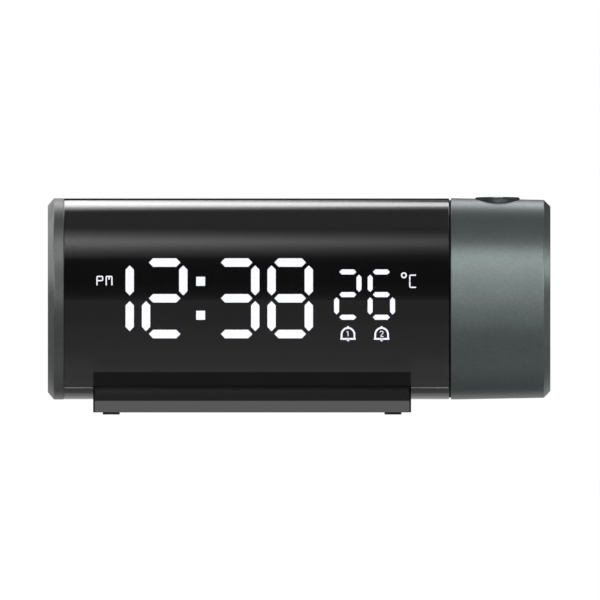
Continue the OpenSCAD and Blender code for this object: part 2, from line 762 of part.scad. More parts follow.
module right_bulkhead() color([0.16, 0.16, 0.16]) difference() {
    union() {
        along_x(x_inner_end) cylinder(r = bulkhead_r, h = bulkhead_t);
        case_blocks(x_block[1]);
        frame_ledges(x_inner_end - ledge_len + eps);
    }
    along_x(x_inner_end - 1) cylinder(r = spigot_r + run, h = bulkhead_t + 2);
    along_x(x_bulk_face - stop_groove) arc_wall(stop_r - stop_d / 2 - free, stop_r + stop_d / 2 + free,
        stop_groove + 1, 270 - stop_a, 270 + stop_a);
    case_bores(x_block[1]);
}

// The two blocks that a bulkhead holds out for the case screws
module case_blocks(x) intersection() {
    for (s = [-1, 1]) along_y(x, block_y, s * case_screw_z)
        block(block_w + 2 * eps, block_w, pad_y - fit - block_y);
    along_x(x - block_w) cylinder(r = bulkhead_r - fit, h = 2 * block_w);
}

module case_bores(x) for (s = [-1, 1]) along_y(x, block_y - 1, s * case_screw_z)
    cylinder(r = large_shank + run, h = drum_r - block_y);

// Ledges over and under the display frame
module frame_ledges(x) for (z = [-frame_h / 2 - fit - ledge_t, frame_h / 2 + fit])
    translate([x, -face_y, axis_h + display_rise + z]) cube([ledge_len, frame_t + board_t, ledge_t]);

module cap_screws() color([0.7, 0.7, 0.72]) for (a = cap_angles)
    along_x(x_inner) rotate([0, 0, a]) translate([cap_screw_r, 0, 0]) small_screw(bulkhead_t + cap_bite);

module case_screws() color([0.12, 0.12, 0.12]) for (x = x_block, s = [-1, 1])
    along_y(x, seat_y, s * case_screw_z) large_screw(case_screw_len);

// ---- Display ----

// A segment with pointed ends, along X, grown all round
module segment(len, t, grow) {
    l = len / 2 + grow * sqrt(2);
    h = t / 2 + grow;
    polygon([[-l, 0], [h - l, h], [l - h, h], [l, 0], [l - h, -h], [h - l, -h]]);
}

module digits(lit, grow = 0) for (s = segments) if (s[5] == lit)
    translate([s[0], s[1]]) rotate(s[2]) segment(s[3], s[4], grow);

module dots(grow = 0) for (s = [-1, 1])
    translate([x_colon, s * dot_rise]) square(dot + 2 * grow, center = true);

// A bar between two corners
module bar(x0, y0, x1, y1) translate([x0, y0]) square([x1 - x0, y1 - y0]);

// The letters PM, from their lower left corner
module pm_mark() {
    w = pm_h * 0.72;
    waist = pm_h * 0.36;
    bar(0, 0, stroke, pm_h);
    bar(0, pm_h - stroke, w, pm_h);
    bar(0, waist, w, waist + stroke);
    bar(w - stroke, waist, w, pm_h);
    translate([w + stroke, 0]) {
        bar(0, 0, stroke, pm_h);
        bar(0, pm_h - stroke, w, pm_h);
        bar(w - stroke, 0, w, pm_h);
        bar(w / 2 - stroke / 2, pm_h * 0.6, w / 2 + stroke / 2, pm_h);
    }
}

// The degree ring and the letter C, from the ring's middle
module degree_mark() {
    difference() {
        circle(r = degree_r);
        circle(r = degree_r - stroke);
    }
    translate([degree_r + stroke, -c_h + stroke / 2]) {
        w = c_h * 0.56;
        bar(0, 0, stroke, c_h);
        bar(0, 0, w, stroke);
        bar(0, c_h - stroke, w, c_h);
    }
}

// A bell with its number, from the middle of its rim
module bell_mark(number) {
    r = bell_w / 2;
    line = stroke * 1.2;
    difference() {
        bell_shape(r, -line / 2);
        bell_shape(r - line, line / 2);
    }
    translate([0, r * 1.5]) rotate(45) square(r * 0.32, center = true);
    intersection() {
        translate([0, -line / 2]) circle(r = r * 0.3);
        bar(-r, -r, r, 0);
    }
    if (number == 1) bar(-stroke / 3, r * 0.35, stroke / 3, r * 1.15);
    if (number == 2) for (b = [[0, 0, 1, 0.2], [0, 0, 0.25, 0.6], [0, 0.4, 1, 0.6],
        [0.75, 0.4, 1, 1], [0, 0.8, 1, 1]]) translate([-r * 0.26, r * 0.35])
        bar(b[0] * r * 0.52, b[1] * r * 0.8, b[2] * r * 0.52, b[3] * r * 0.8);
}

module bell_shape(r, foot) {
    bar(-r, foot, r, bell_w * 0.27);
    translate([0, bell_w * 0.27]) circle(r = r);
}

module icons() {
    translate([digit_x[0] - pm_left, pm_rise]) pm_mark();
    translate([small_x[1] + degree_gap, degree_rise]) degree_mark();
    for (i = [0, 1]) translate([small_x[i], -bell_drop]) bell_mark(i + 1);
}

// Square wells round the icons
module icon_wells() {
    translate([digit_x[0] - pm_left, pm_rise])
        bar(-fit, -fit, pm_h * 1.44 + stroke + fit, pm_h + fit);
    translate([small_x[1] + degree_gap, degree_rise])
            bar(-degree_r - fit, stroke / 2 - c_h - fit,
            degree_r + stroke + c_h * 0.56 + fit, degree_r + fit);
    for (i = [0, 1]) translate([small_x[i], -bell_drop])
        bar(-bell_w / 2 - fit, -bell_w * 0.25, bell_w / 2 + fit, bell_w * 0.88);
}

// A plate as wide and high as the display, from depth y back by t
module display_plate(y, t) translate([frame_x, -y, axis_h + display_rise - frame_h / 2])
    cube([frame_len, t, frame_h]);

module display_frame() color([0.04, 0.04, 0.04]) difference() {
    display_plate(face_y, frame_t);
    on_display(-frame_back + 1, frame_t + 2) {
        digits(true, fit);
        digits(false, fit);
        dots(fit);
        icon_wells();
    }
    for (p = frame_screws) to_front(p[0], 1 - frame_back, display_rise + p[1])
        cylinder(r = small_shank + run, h = frame_t);
}

module lit_digits() color([0.95, 0.96, 1]) on_display(diffuser_t - face_y, diffuser_t) digits(true);
module unlit_digits() color([0.1, 0.1, 0.1]) on_display(diffuser_t - face_y, diffuser_t) digits(false);
module colon_dots() color([0.95, 0.96, 1]) on_display(diffuser_t - face_y, diffuser_t) dots();
module display_icons() color([0.95, 0.96, 1]) on_display(diffuser_t - face_y, diffuser_t) icons();

// One lamp on the display board behind each segment, dot and icon
module display_leds() color([0.9, 0.85, 0.5]) on_display(-frame_back, 0.6) {
    for (s = segments) translate([s[0], s[1]]) rotate(s[2]) square([1.6, 0.8], center = true);
    for (s = [-1, 1]) translate([x_colon, s * dot_rise]) square([1.6, 0.8], center = true);
    for (p = [[digit_x[0] - pm_left + pm_h * 0.7, pm_rise + pm_h / 2],
        [small_x[1] + degree_gap + 1, degree_rise - c_h / 3],
        [small_x[0], bell_w / 4 - bell_drop],
        [small_x[1], bell_w / 4 - bell_drop]])
        translate(p) square([1.6, 0.8], center = true);
}

module display_board() color([0.05, 0.3, 0.15]) difference() {
    display_plate(frame_back, board_t);
    for (p = frame_screws) to_front(p[0], 1 - board_back, display_rise + p[1])
        cylinder(r = small_shank + run, h = board_t + 2);
}

module display_screws() color([0.7, 0.7, 0.72]) for (p = frame_screws)
    along_y(p[0], -board_back, display_rise + p[1]) small_screw(board_t + frame_t - 2);

// ---- Behind the rear panel ----

module main_board() color([0.05, 0.3, 0.15]) difference() {
    translate([board_x, board_front, axis_h - board_h / 2]) cube([board_len, board_t, board_h]);
    for (x = boss_x, s = [-1, 1]) along_y(x, board_front - 1, s * board_boss_z)
        cylinder(r = small_shank + run, h = board_t + 2);
}

module board_screws() color([0.7, 0.7, 0.72]) for (x = boss_x, s = [-1, 1])
    to_front(x, board_front, s * board_boss_z) small_screw(board_t + board_bite);

module processor_chip() color([0.08, 0.08, 0.08]) to_front(x_snooze, board_front, 1) {
    translate([0, 0, chip_t / 8]) block(chip_side, chip_side, chip_t);
    for (a = [0:90:270], i = [-4:4]) rotate([0, 0, a])
        translate([i * pin_pitch, chip_side / 2 + pin_len / 3, 0]) block(0.5, pin_len, 0.5);
}

// Capacitors and resistors, and the connectors of the ribbon and of the head's cable
module board_parts() color([0.25, 0.25, 0.28]) {
    for (i = [-1:1]) to_front(x_keys[1] + i * capacitor_pitch, board_front, capacitor_row)
        cylinder(r = capacitor_r, h = capacitor_h);
    for (i = [0:5]) to_front(x_keys[0] + i * resistor_pitch, board_front, -resistor_row)
        block(resistor_len, resistor_len * 0.6, resistor_len * 0.4);
    to_front(x_ribbon, board_front, -ribbon_drop) block(ribbon_w + 2, plug_d, plug_h);
    along_y(x_ribbon, -board_back, -ribbon_drop) block(ribbon_w + 2, plug_d, plug_h);
    to_front(x_cable, board_front, 0) block(cable_plug_w, cable_plug_d, cable_plug_h);
}

module tact_switches() color([0.3, 0.3, 0.32]) for (p = key_places) along_y(p[0], board_y, p[1]) {
    block(switch_side, switch_side, switch_h);
    cylinder(r = plunger_r, h = switch_h + plunger_h);
}

module power_socket() color([0.75, 0.75, 0.77]) along_y(x_socket, board_y, 0) rotate([0, 0, 90]) {
    difference() {
        stadium(socket_w - socket_t, socket_t / 2, floor_y - free - board_y);
        translate([0, 0, 2]) stadium(socket_w - socket_t, socket_t / 2 - socket_wall, floor_y);
    }
    block(socket_w - socket_t, 0.7, floor_y - free - board_y - 1.5);
}

module buzzer() color([0.08, 0.08, 0.08]) along_y(x_buzzer, board_y, 0)
    tube(buzzer_d / 2, 1.2, floor_in - buzzer_gap - board_y);

module battery_holder() color([0.12, 0.12, 0.12]) along_y(x_lid, board_y, 0) difference() {
    cylinder(r = cell_d / 2 + fit + holder_wall, h = holder_h);
    translate([0, 0, 1]) cylinder(r = cell_d / 2 + fit, h = holder_h);
    translate([0, cell_d / 2, holder_h - cell_t]) block(6, 5, holder_h);
}

module cell_contact() color([0.8, 0.78, 0.7]) along_y(x_lid, board_y + 1, 0) {
    block(12, 3, 0.3);
    cylinder(r = 1.4, h = cell_y - board_y - 1);
}

module coin_cell() color([0.78, 0.78, 0.8]) along_y(x_lid, cell_y, 0) {
    cylinder(r = cell_d / 2 - 1, h = cell_t);
    translate([0, 0, 0.4]) cylinder(r = cell_d / 2, h = cell_t - 0.4);
}

module display_ribbon() color([0.75, 0.75, 0.72])
    along_y(x_ribbon, plug_h - board_back, -ribbon_drop)
        block(ribbon_w, 0.6, board_front + board_back - 2 * plug_h);

module projector_cable() color([0.1, 0.1, 0.1]) {
    x_straight = x_cable + cable_bend;
    y_plug = board_front - cable_plug_h;
    to_front(x_cable, y_plug, 0) cylinder(r = cable_r, h = y_plug - cable_bend);
    translate([x_straight, cable_bend, axis_h]) rotate([0, 0, 180]) rotate_extrude(angle = 90)
        translate([cable_bend, 0]) circle(r = cable_r);
    along_x(x_straight) cylinder(r = cable_r, h = x_head_plug - fit - x_straight);
}

// ---- Stand ----

module stand_outline(half) polygon(concat([for (p = half) [-p[0], p[1]]],
    [for (i = [len(half) - 1:-1:0]) half[i]]));

// Extrudes an outline of depth and height along the stand
module along_stand(len) translate([x_stand - len / 2, 0, 0]) rotate([90, 0, 90])
    linear_extrude(height = len) children();

module stand_cradle() color([0.09, 0.09, 0.09]) difference() {
    along_stand(stand_len) stand_outline(stand_half);
    along_x(x_stand - stand_len) cylinder(r = saddle_r, h = 2 * stand_len);
    stand_hollow();
    for (s = [-1, 1]) translate([x_stand + s * stand_screw_x, 0, 0])
        cylinder(r = large_shank + free, h = axis_h);
    for (end = [-1, 1], side = [-1, 1], i = [0:2]) end_bevel(end, side, stand_half[i], stand_half[i + 1]);
}

// The hollow, less the columns that take the screws
module stand_hollow() difference() {
    along_stand(plate_len) stand_outline(hollow_half);
    along_x(x_stand - stand_len) cylinder(r = saddle_r + stand_wall, h = 2 * stand_len);
    for (x = x_feet, s = [-1, 1]) translate([x, s * plate_screw_y, plate_z])
        tube(small_shank + 2, small_shank + run, axis_h);
    for (s = [-1, 1]) translate([x_stand + s * stand_screw_x, 0, saddle_under])
        cylinder(r = large_head + 1, h = axis_h);
}

// Cutter for the bevel along the edge between two points of the outline, at one end of the stand
module end_bevel(end, side, p, q) {
    a = atan2(q[1] - p[1], side * (q[0] - p[0]));
    translate([x_stand + end * stand_len / 2, side * p[0], p[1]]) rotate([a, 0, 0])
        rotate([0, atan2(end, -side), 0]) translate([-2 * stand_bevel, -0.1, -stand_bevel / sqrt(2)])
            cube([4 * stand_bevel, norm(q - p) + 0.2, 3 * stand_bevel]);
}

module stand_plate() color([0.08, 0.08, 0.08]) difference() {
    translate([x_stand, 0, foot_h]) block(plate_len - 2 * fit, 2 * (plate_y - fit), plate_t - fit);
    for (x = x_feet, s = [-1, 1]) translate([x, s * plate_screw_y, 0]) {
        cylinder(r = small_shank + run, h = axis_h);
        cylinder(r = small_head + fit, h = foot_h + plate_head_h);
    }
    for (s = [-1, 1]) translate([x_stand + s * stand_screw_x, 0, 0])
        cylinder(r = large_head + free, h = axis_h);
}

module plate_screws() color([0.5, 0.5, 0.5]) for (x = x_feet, s = [-1, 1])
    translate([x, s * plate_screw_y, foot_h + plate_head_h]) rotate([180, 0, 0])
        screw(small_shank, plate_t + plate_bite, small_head, plate_head_h);

module stand_screws() color([0.5, 0.5, 0.5]) for (s = [-1, 1])
    translate([x_stand + s * stand_screw_x, 0, saddle_under]) rotate([180, 0, 0])
        large_screw(stand_screw_len);

module stand_feet() color([0.12, 0.12, 0.12]) for (x = x_feet, s = [-1, 1])
    translate([x, s * (skirt_y - foot_d / 2), 0]) block(foot_w, foot_d, foot_h);

// ---- Projector head ----

module base_places() for (y = [-1, 1], z = [-1, 1])
    translate([y * base_screw_off, z * base_screw_off, 0]) children();

module mount_places() for (y = [-1, 1], z = mount_screw_z)
    translate([y * mount_screw_y, z, 0]) children();

module retainer_places() for (a = [30, 150, 270]) rotate([0, 0, a])
    translate([retainer_screw_r, 0, 0]) children();

module head_shell() color([0.28, 0.31, 0.31]) difference() {
    union() {
        along_x(x_head) rotate_extrude() polygon([[head_in, 0], [end_r, 0],
            [head_end_r, head_len - head_chamfer], [head_end_r - head_chamfer, head_len],
            [0, head_len], [0, head_len - head_wall], [head_in, head_len - head_wall]]);
        along_x(x_mount) base_places() cylinder(r = base_boss_r, h = shell_floor - x_mount + head_wall / 2);
    }
    along_x(x_mount - 1) base_places() cylinder(r = small_shank + run, h = base_bite + 3.2);
    on_lens(0) cylinder(r = ring_r + free, h = drum_r + 5);
    along_x(x_head - 1) tube(rim_r + free, rim_r - rim_t - free, 1 + rim_reach + free);
}

module head_base() color([0.16, 0.16, 0.16]) difference() {
    union() {
        along_x(x_base) cylinder(r = base_r, h = base_t);
        along_x(x_bulk_face + free) cylinder(r = collar_r, h = base_inset + head_gap + bulkhead_inset);
        along_x(x_washer) cylinder(r = spigot_r, h = x_base - x_washer + 1);
        along_x(x_bulk_face - stop_groove + free) rotate([0, 0, 270]) translate([stop_r, 0, 0])
            cylinder(d = stop_d, h = x_base - x_bulk_face + stop_groove - free + 1);
    }
    along_x(x_washer - 1) cylinder(r = cable_way_r, h = drum_r);
    along_x(x_washer - 1) retainer_places() cylinder(r = small_shank + run, h = retainer_bite + 1.5);
    along_x(x_base) {
        base_places() sunk_hole();
        mount_places() sunk_hole();
    }
}

// A through hole with a sunk seat for a small screw's head
module sunk_hole() {
    translate([0, 0, -1]) cylinder(r = small_shank + run, h = base_t + 2);
    translate([0, 0, -1]) cylinder(r = small_head + fit, h = small_head_h + 1);
}

module head_screws() color([0.7, 0.7, 0.72]) along_x(x_base + small_head_h) base_places()
    rotate([180, 0, 0]) small_screw(base_t - small_head_h + base_bite);

module optics_screws() color([0.7, 0.7, 0.72]) along_x(x_base + small_head_h) mount_places()
    rotate([180, 0, 0]) small_screw(base_t - small_head_h + mount_t - 0.8);

module friction_washer() color([0.85, 0.82, 0.7]) along_x(x_washer)
    tube(collar_r, spigot_r + run, washer_t);

module pivot_retainer() color([0.3, 0.3, 0.3]) along_x(x_retainer) difference() {
    tube(collar_r, cable_way_r, retainer_t);
    translate([0, 0, -1]) retainer_places() cylinder(r = small_shank + run, h = retainer_t + 2);
}

module retainer_screws() color([0.7, 0.7, 0.72]) along_x(x_retainer) retainer_places()
    rotate([180, 0, 0]) small_screw(retainer_t + retainer_bite);

module optics_tube() color([0.1, 0.1, 0.1]) {
    difference() {
        union() {
            on_lens(-tube_bottom) cylinder(r = tube_r, h = tube_bottom + tube_top);
            on_lens(tube_top - 1) cylinder(r = neck_r, h = neck_top - tube_top + 1);
            translate([x_mount, -mount_half, axis_h - tube_bottom])
                cube([mount_t, 2 * mount_half, tube_bottom + mount_top]);
        }
        on_lens(-tube_bottom - 1) cylinder(r = tube_in, h = tube_bottom + tube_top - tube_wall + 1);
        on_lens(0) cylinder(r = neck_in, h = ring_top);
        on_lens(barrel_bottom - focus_travel - free) translate([0, neck_r / 2 + 1, 0])
            block(rib_w + 2 * fit, neck_r + 2, drum_r);
        along_x(x_mount - 1) mount_places() cylinder(r = small_shank + run, h = mount_t + 0.6);
        // pocket for the head's circuit board, the groove of the lamp's flex and its way into the tube
        translate([x_mount - 1, -head_board_w / 2 - fit, axis_h - head_board_h / 2 - fit])
            cube([1 + head_board_t + 2 * fit, head_board_w + 2 * fit, head_board_h + 2 * fit]);
        translate([x_mount - 1, -flex_w / 2 - fit, axis_h + lamp_z - fit]) {
            cube([2, flex_w + 2 * fit, tube_bottom]);
            cube([lens_from_end, flex_w + 2 * fit, 1]);
        }
    }
    on_lens(-condenser_z - seat_t) tube(tube_in + 0.5, tube_in - 1.7, seat_t);
    on_lens(panel_z - seat_t) difference() {
        cylinder(r = tube_in + 0.5, h = seat_t);
        translate([0, 0, -1]) block(image_window, image_window, seat_t + 2);
    }
}

module head_board() color([0.05, 0.3, 0.15]) {
    translate([x_head_board, -head_board_w / 2, axis_h - head_board_h / 2])
        cube([head_board_t, head_board_w, head_board_h]);
    along_x(x_head_plug) block(head_plug, head_plug * 0.75, x_head_board - x_head_plug + eps);
}

module lamp_flex() color([0.7, 0.45, 0.15])
    translate([x_head_board, -flex_w / 2, axis_h + lamp_z]) {
        cube([flex_t, flex_w, -lamp_z - head_board_h / 2]);
        cube([x_lens - tube_in + 2 - x_head_board, flex_w, flex_t]);
    }

module heat_sink() color([0.6, 0.6, 0.62]) on_lens(-tube_bottom) {
    translate([0, 0, -sink_t]) cylinder(r = tube_r, h = sink_t);
    intersection() {
        translate([0, 0, -sink_t - fin_h]) cylinder(r = tube_r - 0.3, h = fin_h + 1);
        for (i = [-2:2]) translate([i * fin_pitch, 0, -sink_t - fin_h]) block(1.2, 2 * tube_r, fin_h + 0.5);
    }
}

module lamp_board() color([0.9, 0.9, 0.88]) on_lens(-tube_bottom)
    cylinder(r = tube_in - free, h = lamp_board_t);

module lamp() color([0.95, 0.9, 0.6]) on_lens(lamp_z) {
    block(lamp_side, lamp_side, 0.8);
    translate([0, 0, 0.8]) intersection() {
        sphere(r = lamp_side * 0.43);
        translate([0, 0, -0.4]) block(lamp_side, lamp_side, lamp_side);
    }
}

module condenser_lens() color([0.8, 0.9, 0.95]) on_lens(-condenser_z) intersection() {
    cylinder(r = tube_in - fit, h = condenser_h);
    translate([0, 0, condenser_h - condenser_curve]) sphere(r = condenser_curve);
}

module image_panel() color([0.2, 0.25, 0.3]) on_lens(panel_z) block(panel_side, panel_side, panel_t);

// ---- Focus ----

module lens_barrel() color([0.12, 0.12, 0.12]) on_lens(barrel_bottom) {
    difference() {
        cylinder(r = barrel_r, h = barrel_len);
        translate([0, 0, -1]) cylinder(r = barrel_in - barrel_wall, h = barrel_len + 2);
        translate([0, 0, lens_seat]) cylinder(r = barrel_in, h = barrel_len);
        translate([0, 0, -1]) cylinder(r = barrel_in, h = lens_seat - barrel_wall + 1);
    }
    translate([0, barrel_r + rib_h / 2 - 0.15, 0]) block(rib_w, rib_h + 0.3, barrel_len / 2);
}

module projection_lens() color([0.75, 0.8, 0.85]) on_lens(barrel_bottom + lens_seat) intersection() {
    lens_r = barrel_in - run;
    curve = (pow(lens_r, 2) + pow(dome, 2)) / (2 * dome);
    cylinder(r = lens_r, h = lens_t + dome);
    translate([0, 0, lens_t + dome - curve]) sphere(r = curve);
}

module focus_ring() color([0.2, 0.22, 0.22]) on_lens(0) rotate_extrude() polygon([
    [ring_in, flange_top - ring_flange_t], [ring_flange_r, flange_top - ring_flange_t],
    [ring_flange_r, flange_top], [ring_r, flange_top], [ring_r, ring_top - 0.3],
    [ring_r - 0.3, ring_top], [barrel_r + free, ring_top], [barrel_r + free, ring_top - ring_lip],
    [ring_in, ring_top - ring_lip]]);

// ---- Keys and lid ----

// A key of length len between its round ends: a cup over the plunger, a flange and the top
module key(x, z, len, r) {
    along_y(x, cup_y, z) tube(cup_r + cup_wall, cup_r, cup_depth + eps);
    along_y(x, cup_floor_y, z) cylinder(r = cup_r + cup_wall, h = cup_roof + eps);
    along_y(x, flange_y - key_flange_t, z) stadium(len, r + key_flange, key_flange_t);
    along_y(x, flange_y - eps, z) stadium(len, r, floor_y + key_proud - flange_y + eps);
}

module round_key(x, z) color([0.16, 0.16, 0.17]) key(x, z, 0, key_r);

module key_snooze() color([0.16, 0.16, 0.17]) key(x_snooze, 0, snooze_len, snooze_r);

module key_projector() round_key(x_keys[0], key_row);
module key_alarm_1() round_key(x_keys[1], key_row);
module key_alarm_2() round_key(x_keys[2], key_row);
module key_set() round_key(x_keys[0], -key_row);
module key_down() round_key(x_keys[1], -key_row);
module key_up() round_key(x_keys[2], -key_row);

module battery_lid() color([0.14, 0.14, 0.15]) along_y(x_lid, floor_in - free - lug_t, 0) difference() {
    union() {
        cylinder(r = lid_r - 0.5, h = lug_t + free + eps);
        translate([0, 0, lug_t + free]) cylinder(r = lid_r, h = floor_t);
        for (a = [0, 180]) arc_wall(lid_r - 1, lid_r + lug, lug_t, a - lug_w / 2, a + lug_w / 2);
    }
    translate([0, 0, lug_t + free + floor_t - 0.8]) block(slot_len, slot_w, 2);
}

front_window();
rear_case();
left_end_cap();
left_bulkhead();
right_bulkhead();
cap_screws();
case_screws();
display_frame();
lit_digits();
unlit_digits();
colon_dots();
display_icons();
display_leds();
display_board();
display_screws();
main_board();
board_screws();
processor_chip();
board_parts();
tact_switches();
power_socket();
buzzer();
battery_holder();
cell_contact();
coin_cell();
display_ribbon();
projector_cable();
stand_cradle();
stand_plate();
plate_screws();
stand_screws();
stand_feet();
head_shell();
head_base();
head_screws();
friction_washer();
pivot_retainer();
retainer_screws();
optics_tube();
optics_screws();
head_board();
heat_sink();
lamp_board();
lamp();
lamp_flex();
condenser_lens();
image_panel();
lens_barrel();
projection_lens();
focus_ring();
key_snooze();
key_projector();
key_set();
key_up();
key_down();
key_alarm_1();
key_alarm_2();
battery_lid();
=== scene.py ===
import json
import math

import bmesh
import bpy
from mathutils import Matrix, Vector

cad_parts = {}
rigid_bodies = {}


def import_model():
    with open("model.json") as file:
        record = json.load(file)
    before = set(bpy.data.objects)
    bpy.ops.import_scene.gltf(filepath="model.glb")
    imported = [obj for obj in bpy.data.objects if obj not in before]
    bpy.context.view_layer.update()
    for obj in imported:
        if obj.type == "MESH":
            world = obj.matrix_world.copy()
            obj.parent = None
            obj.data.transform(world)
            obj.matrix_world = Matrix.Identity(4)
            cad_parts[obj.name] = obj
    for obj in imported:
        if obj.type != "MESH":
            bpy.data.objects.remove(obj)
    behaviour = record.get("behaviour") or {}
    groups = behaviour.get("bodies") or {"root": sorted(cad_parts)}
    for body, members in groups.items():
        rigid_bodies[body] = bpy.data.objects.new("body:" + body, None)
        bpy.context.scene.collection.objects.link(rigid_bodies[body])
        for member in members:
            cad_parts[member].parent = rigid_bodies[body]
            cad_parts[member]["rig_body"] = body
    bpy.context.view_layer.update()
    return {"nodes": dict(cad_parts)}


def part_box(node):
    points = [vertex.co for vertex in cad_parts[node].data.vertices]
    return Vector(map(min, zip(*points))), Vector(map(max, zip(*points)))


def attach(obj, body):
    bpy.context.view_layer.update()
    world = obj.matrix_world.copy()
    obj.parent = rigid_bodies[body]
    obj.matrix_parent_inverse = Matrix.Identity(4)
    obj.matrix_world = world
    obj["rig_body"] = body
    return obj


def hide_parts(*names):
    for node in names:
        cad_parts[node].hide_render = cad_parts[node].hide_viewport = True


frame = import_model()
nodes = frame["nodes"]
scene = bpy.context.scene
scene.view_settings.view_transform = "Standard"

# ---- Studio ----
# The clock stands on a white table in an even room, with long soft lamps that run along it.
# The camera looks at its front from just above the horizon, with a long lens that shows no perspective.


def linear(colour):
    """An sRGB hex colour as linear red, green, blue and alpha."""
    parts = [int(colour[i:i + 2], 16) / 255 for i in (0, 2, 4)]
    return (*[c / 12.92 if c <= 0.04045 else ((c + 0.055) / 1.055) ** 2.4 for c in parts], 1.0)


def add(tree, kind, links=None, **settings):
    """Adds one node with its settings, and fills or links its inputs."""
    made = tree.nodes.new(kind)
    for name, value in settings.items():
        setattr(made, name, value)
    for name, value in (links or {}).items():
        if isinstance(value, bpy.types.NodeSocket):
            tree.links.new(value, made.inputs[name])
        else:
            made.inputs[name].default_value = value
    return made


def place(name, data):
    """Puts new data in the scene as an object at the origin."""
    made = bpy.data.objects.new(name, data)
    scene.collection.objects.link(made)
    return made


axis_height = 0.0406  # of the drum over the table
drum_left, drum_right = -0.08, 0.05  # the stretch along which a lamp's level changes
camera_rise = math.radians(1.5)
camera_reach = 4.0
view_width = 0.2151
view_middle = Vector((0.00032, 0, axis_height - 0.00042))
camera_data = bpy.data.cameras.new("camera")
camera_data.type = "ORTHO"
camera_data.ortho_scale = view_width
camera_data.clip_start, camera_data.clip_end = 0.01, 50
camera = place("camera", camera_data)
camera.rotation_euler = (math.pi / 2 - camera_rise, 0, 0)
camera.location = view_middle - camera_reach * Vector((0, math.cos(camera_rise), -math.sin(camera_rise)))
scene.camera = camera


def ramp(tree, share, stops, peak=1.0):
    """A colour ramp over the range of its stops, with their levels as parts of the peak."""
    made = add(tree, "ShaderNodeValToRGB", {"Fac": share})
    marks = made.color_ramp.elements
    for index, (mark, level) in enumerate(stops):
        position = (mark - stops[0][0]) / (stops[-1][0] - stops[0][0])
        spot = marks[index] if index < 2 else marks.new(position)
        spot.position, spot.color = position, (level / peak, level / peak, level / peak, 1)
    return made.outputs["Color"]


def level_at(tree, way, stops, taper=0.0, core=0.0):
    """The level by a point's angle over the front horizon, and the highest level of its stops.

    The stops are angles in degrees with their levels. A taper draws them in to the core angle on the right.
    """
    parts = add(tree, "ShaderNodeSeparateXYZ", {"Vector": way})
    ahead = add(tree, "ShaderNodeMath", {0: parts.outputs["Y"], 1: -1.0}, operation="MULTIPLY")
    angle = add(tree, "ShaderNodeMath", {0: parts.outputs["Z"], 1: ahead.outputs[0]}, operation="ARCTAN2")
    off = add(tree, "ShaderNodeMath", {0: angle.outputs[0], 1: math.radians(core)}, operation="SUBTRACT")
    narrow = add(tree, "ShaderNodeMath", {0: parts.outputs["X"], 1: taper, 2: 1 - drum_left * taper},
                 operation="MULTIPLY_ADD")
    bent = add(tree, "ShaderNodeMath", {0: off.outputs[0], 1: narrow.outputs[0], 2: math.radians(core)},
               operation="MULTIPLY_ADD")
    first, last = stops[0][0], stops[-1][0]
    share = add(tree, "ShaderNodeMapRange", {
        "Value": bent.outputs[0], "From Min": math.radians(first), "From Max": math.radians(last)})
    peak = max(level for _, level in stops)
    return ramp(tree, share.outputs["Result"], stops, peak), peak


# The room: white to the camera, and to the clock a dim shell, lighter overhead and dark low at the back
room = bpy.data.worlds.new("room")
scene.world = room
room.use_nodes = True
tree = room.node_tree
tree.nodes.clear()
way = add(tree, "ShaderNodeTexCoord")
level, peak = level_at(tree, way.outputs["Generated"], [
    (-180, 0.5), (-2, 0.4), (0, 0.33), (4, 0.22), (9, 0.155), (20, 0.11), (44, 0.12), (50, 0.2), (91, 0.36),
    (101, 0.34), (113, 0.26), (121, 0.21), (156, 0.2), (159, 0.01), (180, 0.01)])
seen = add(tree, "ShaderNodeLightPath")
lit = add(tree, "ShaderNodeBackground", {"Color": level, "Strength": peak})
white = add(tree, "ShaderNodeBackground", {"Color": linear("FFFFFF"), "Strength": 1.0})
mix = add(tree, "ShaderNodeMixShader", {
    0: seen.outputs["Is Camera Ray"], 1: lit.outputs[0], 2: white.outputs[0]})
add(tree, "ShaderNodeOutputWorld", {"Surface": mix.outputs[0]})

# The table: white laminate that keeps the clock's shadow. Gloss and glass see it as pale too, at a level of
# painted light that falls towards the front, with a darker band of painted shadow in front of the stand's
# middle.
table_half, table_drop = 9, 2e-5  # the top lies a hair under the feet
table_mesh = bpy.data.meshes.new("table")
corners = [(x * table_half, y * table_half, -table_drop) for x, y in ((-1, -1), (1, -1), (1, 1), (-1, 1))]
table_mesh.from_pydata(corners, [], [(0, 1, 2, 3)])
table = place("table", table_mesh)
laminate = bpy.data.materials.new("white_laminate")
laminate.use_nodes = True
tree = laminate.node_tree
tree.nodes.clear()
glow_share = 0.98  # the rest is the laminate, which keeps the shadow
matt = add(tree, "ShaderNodeBsdfDiffuse", {"Color": linear("E6E6E6")})
glow = add(tree, "ShaderNodeEmission", {"Color": linear("FFFFFF"), "Strength": 1.02})
spot = add(tree, "ShaderNodeTexCoord").outputs["Object"]
across = add(tree, "ShaderNodeSeparateXYZ", {"Vector": spot})
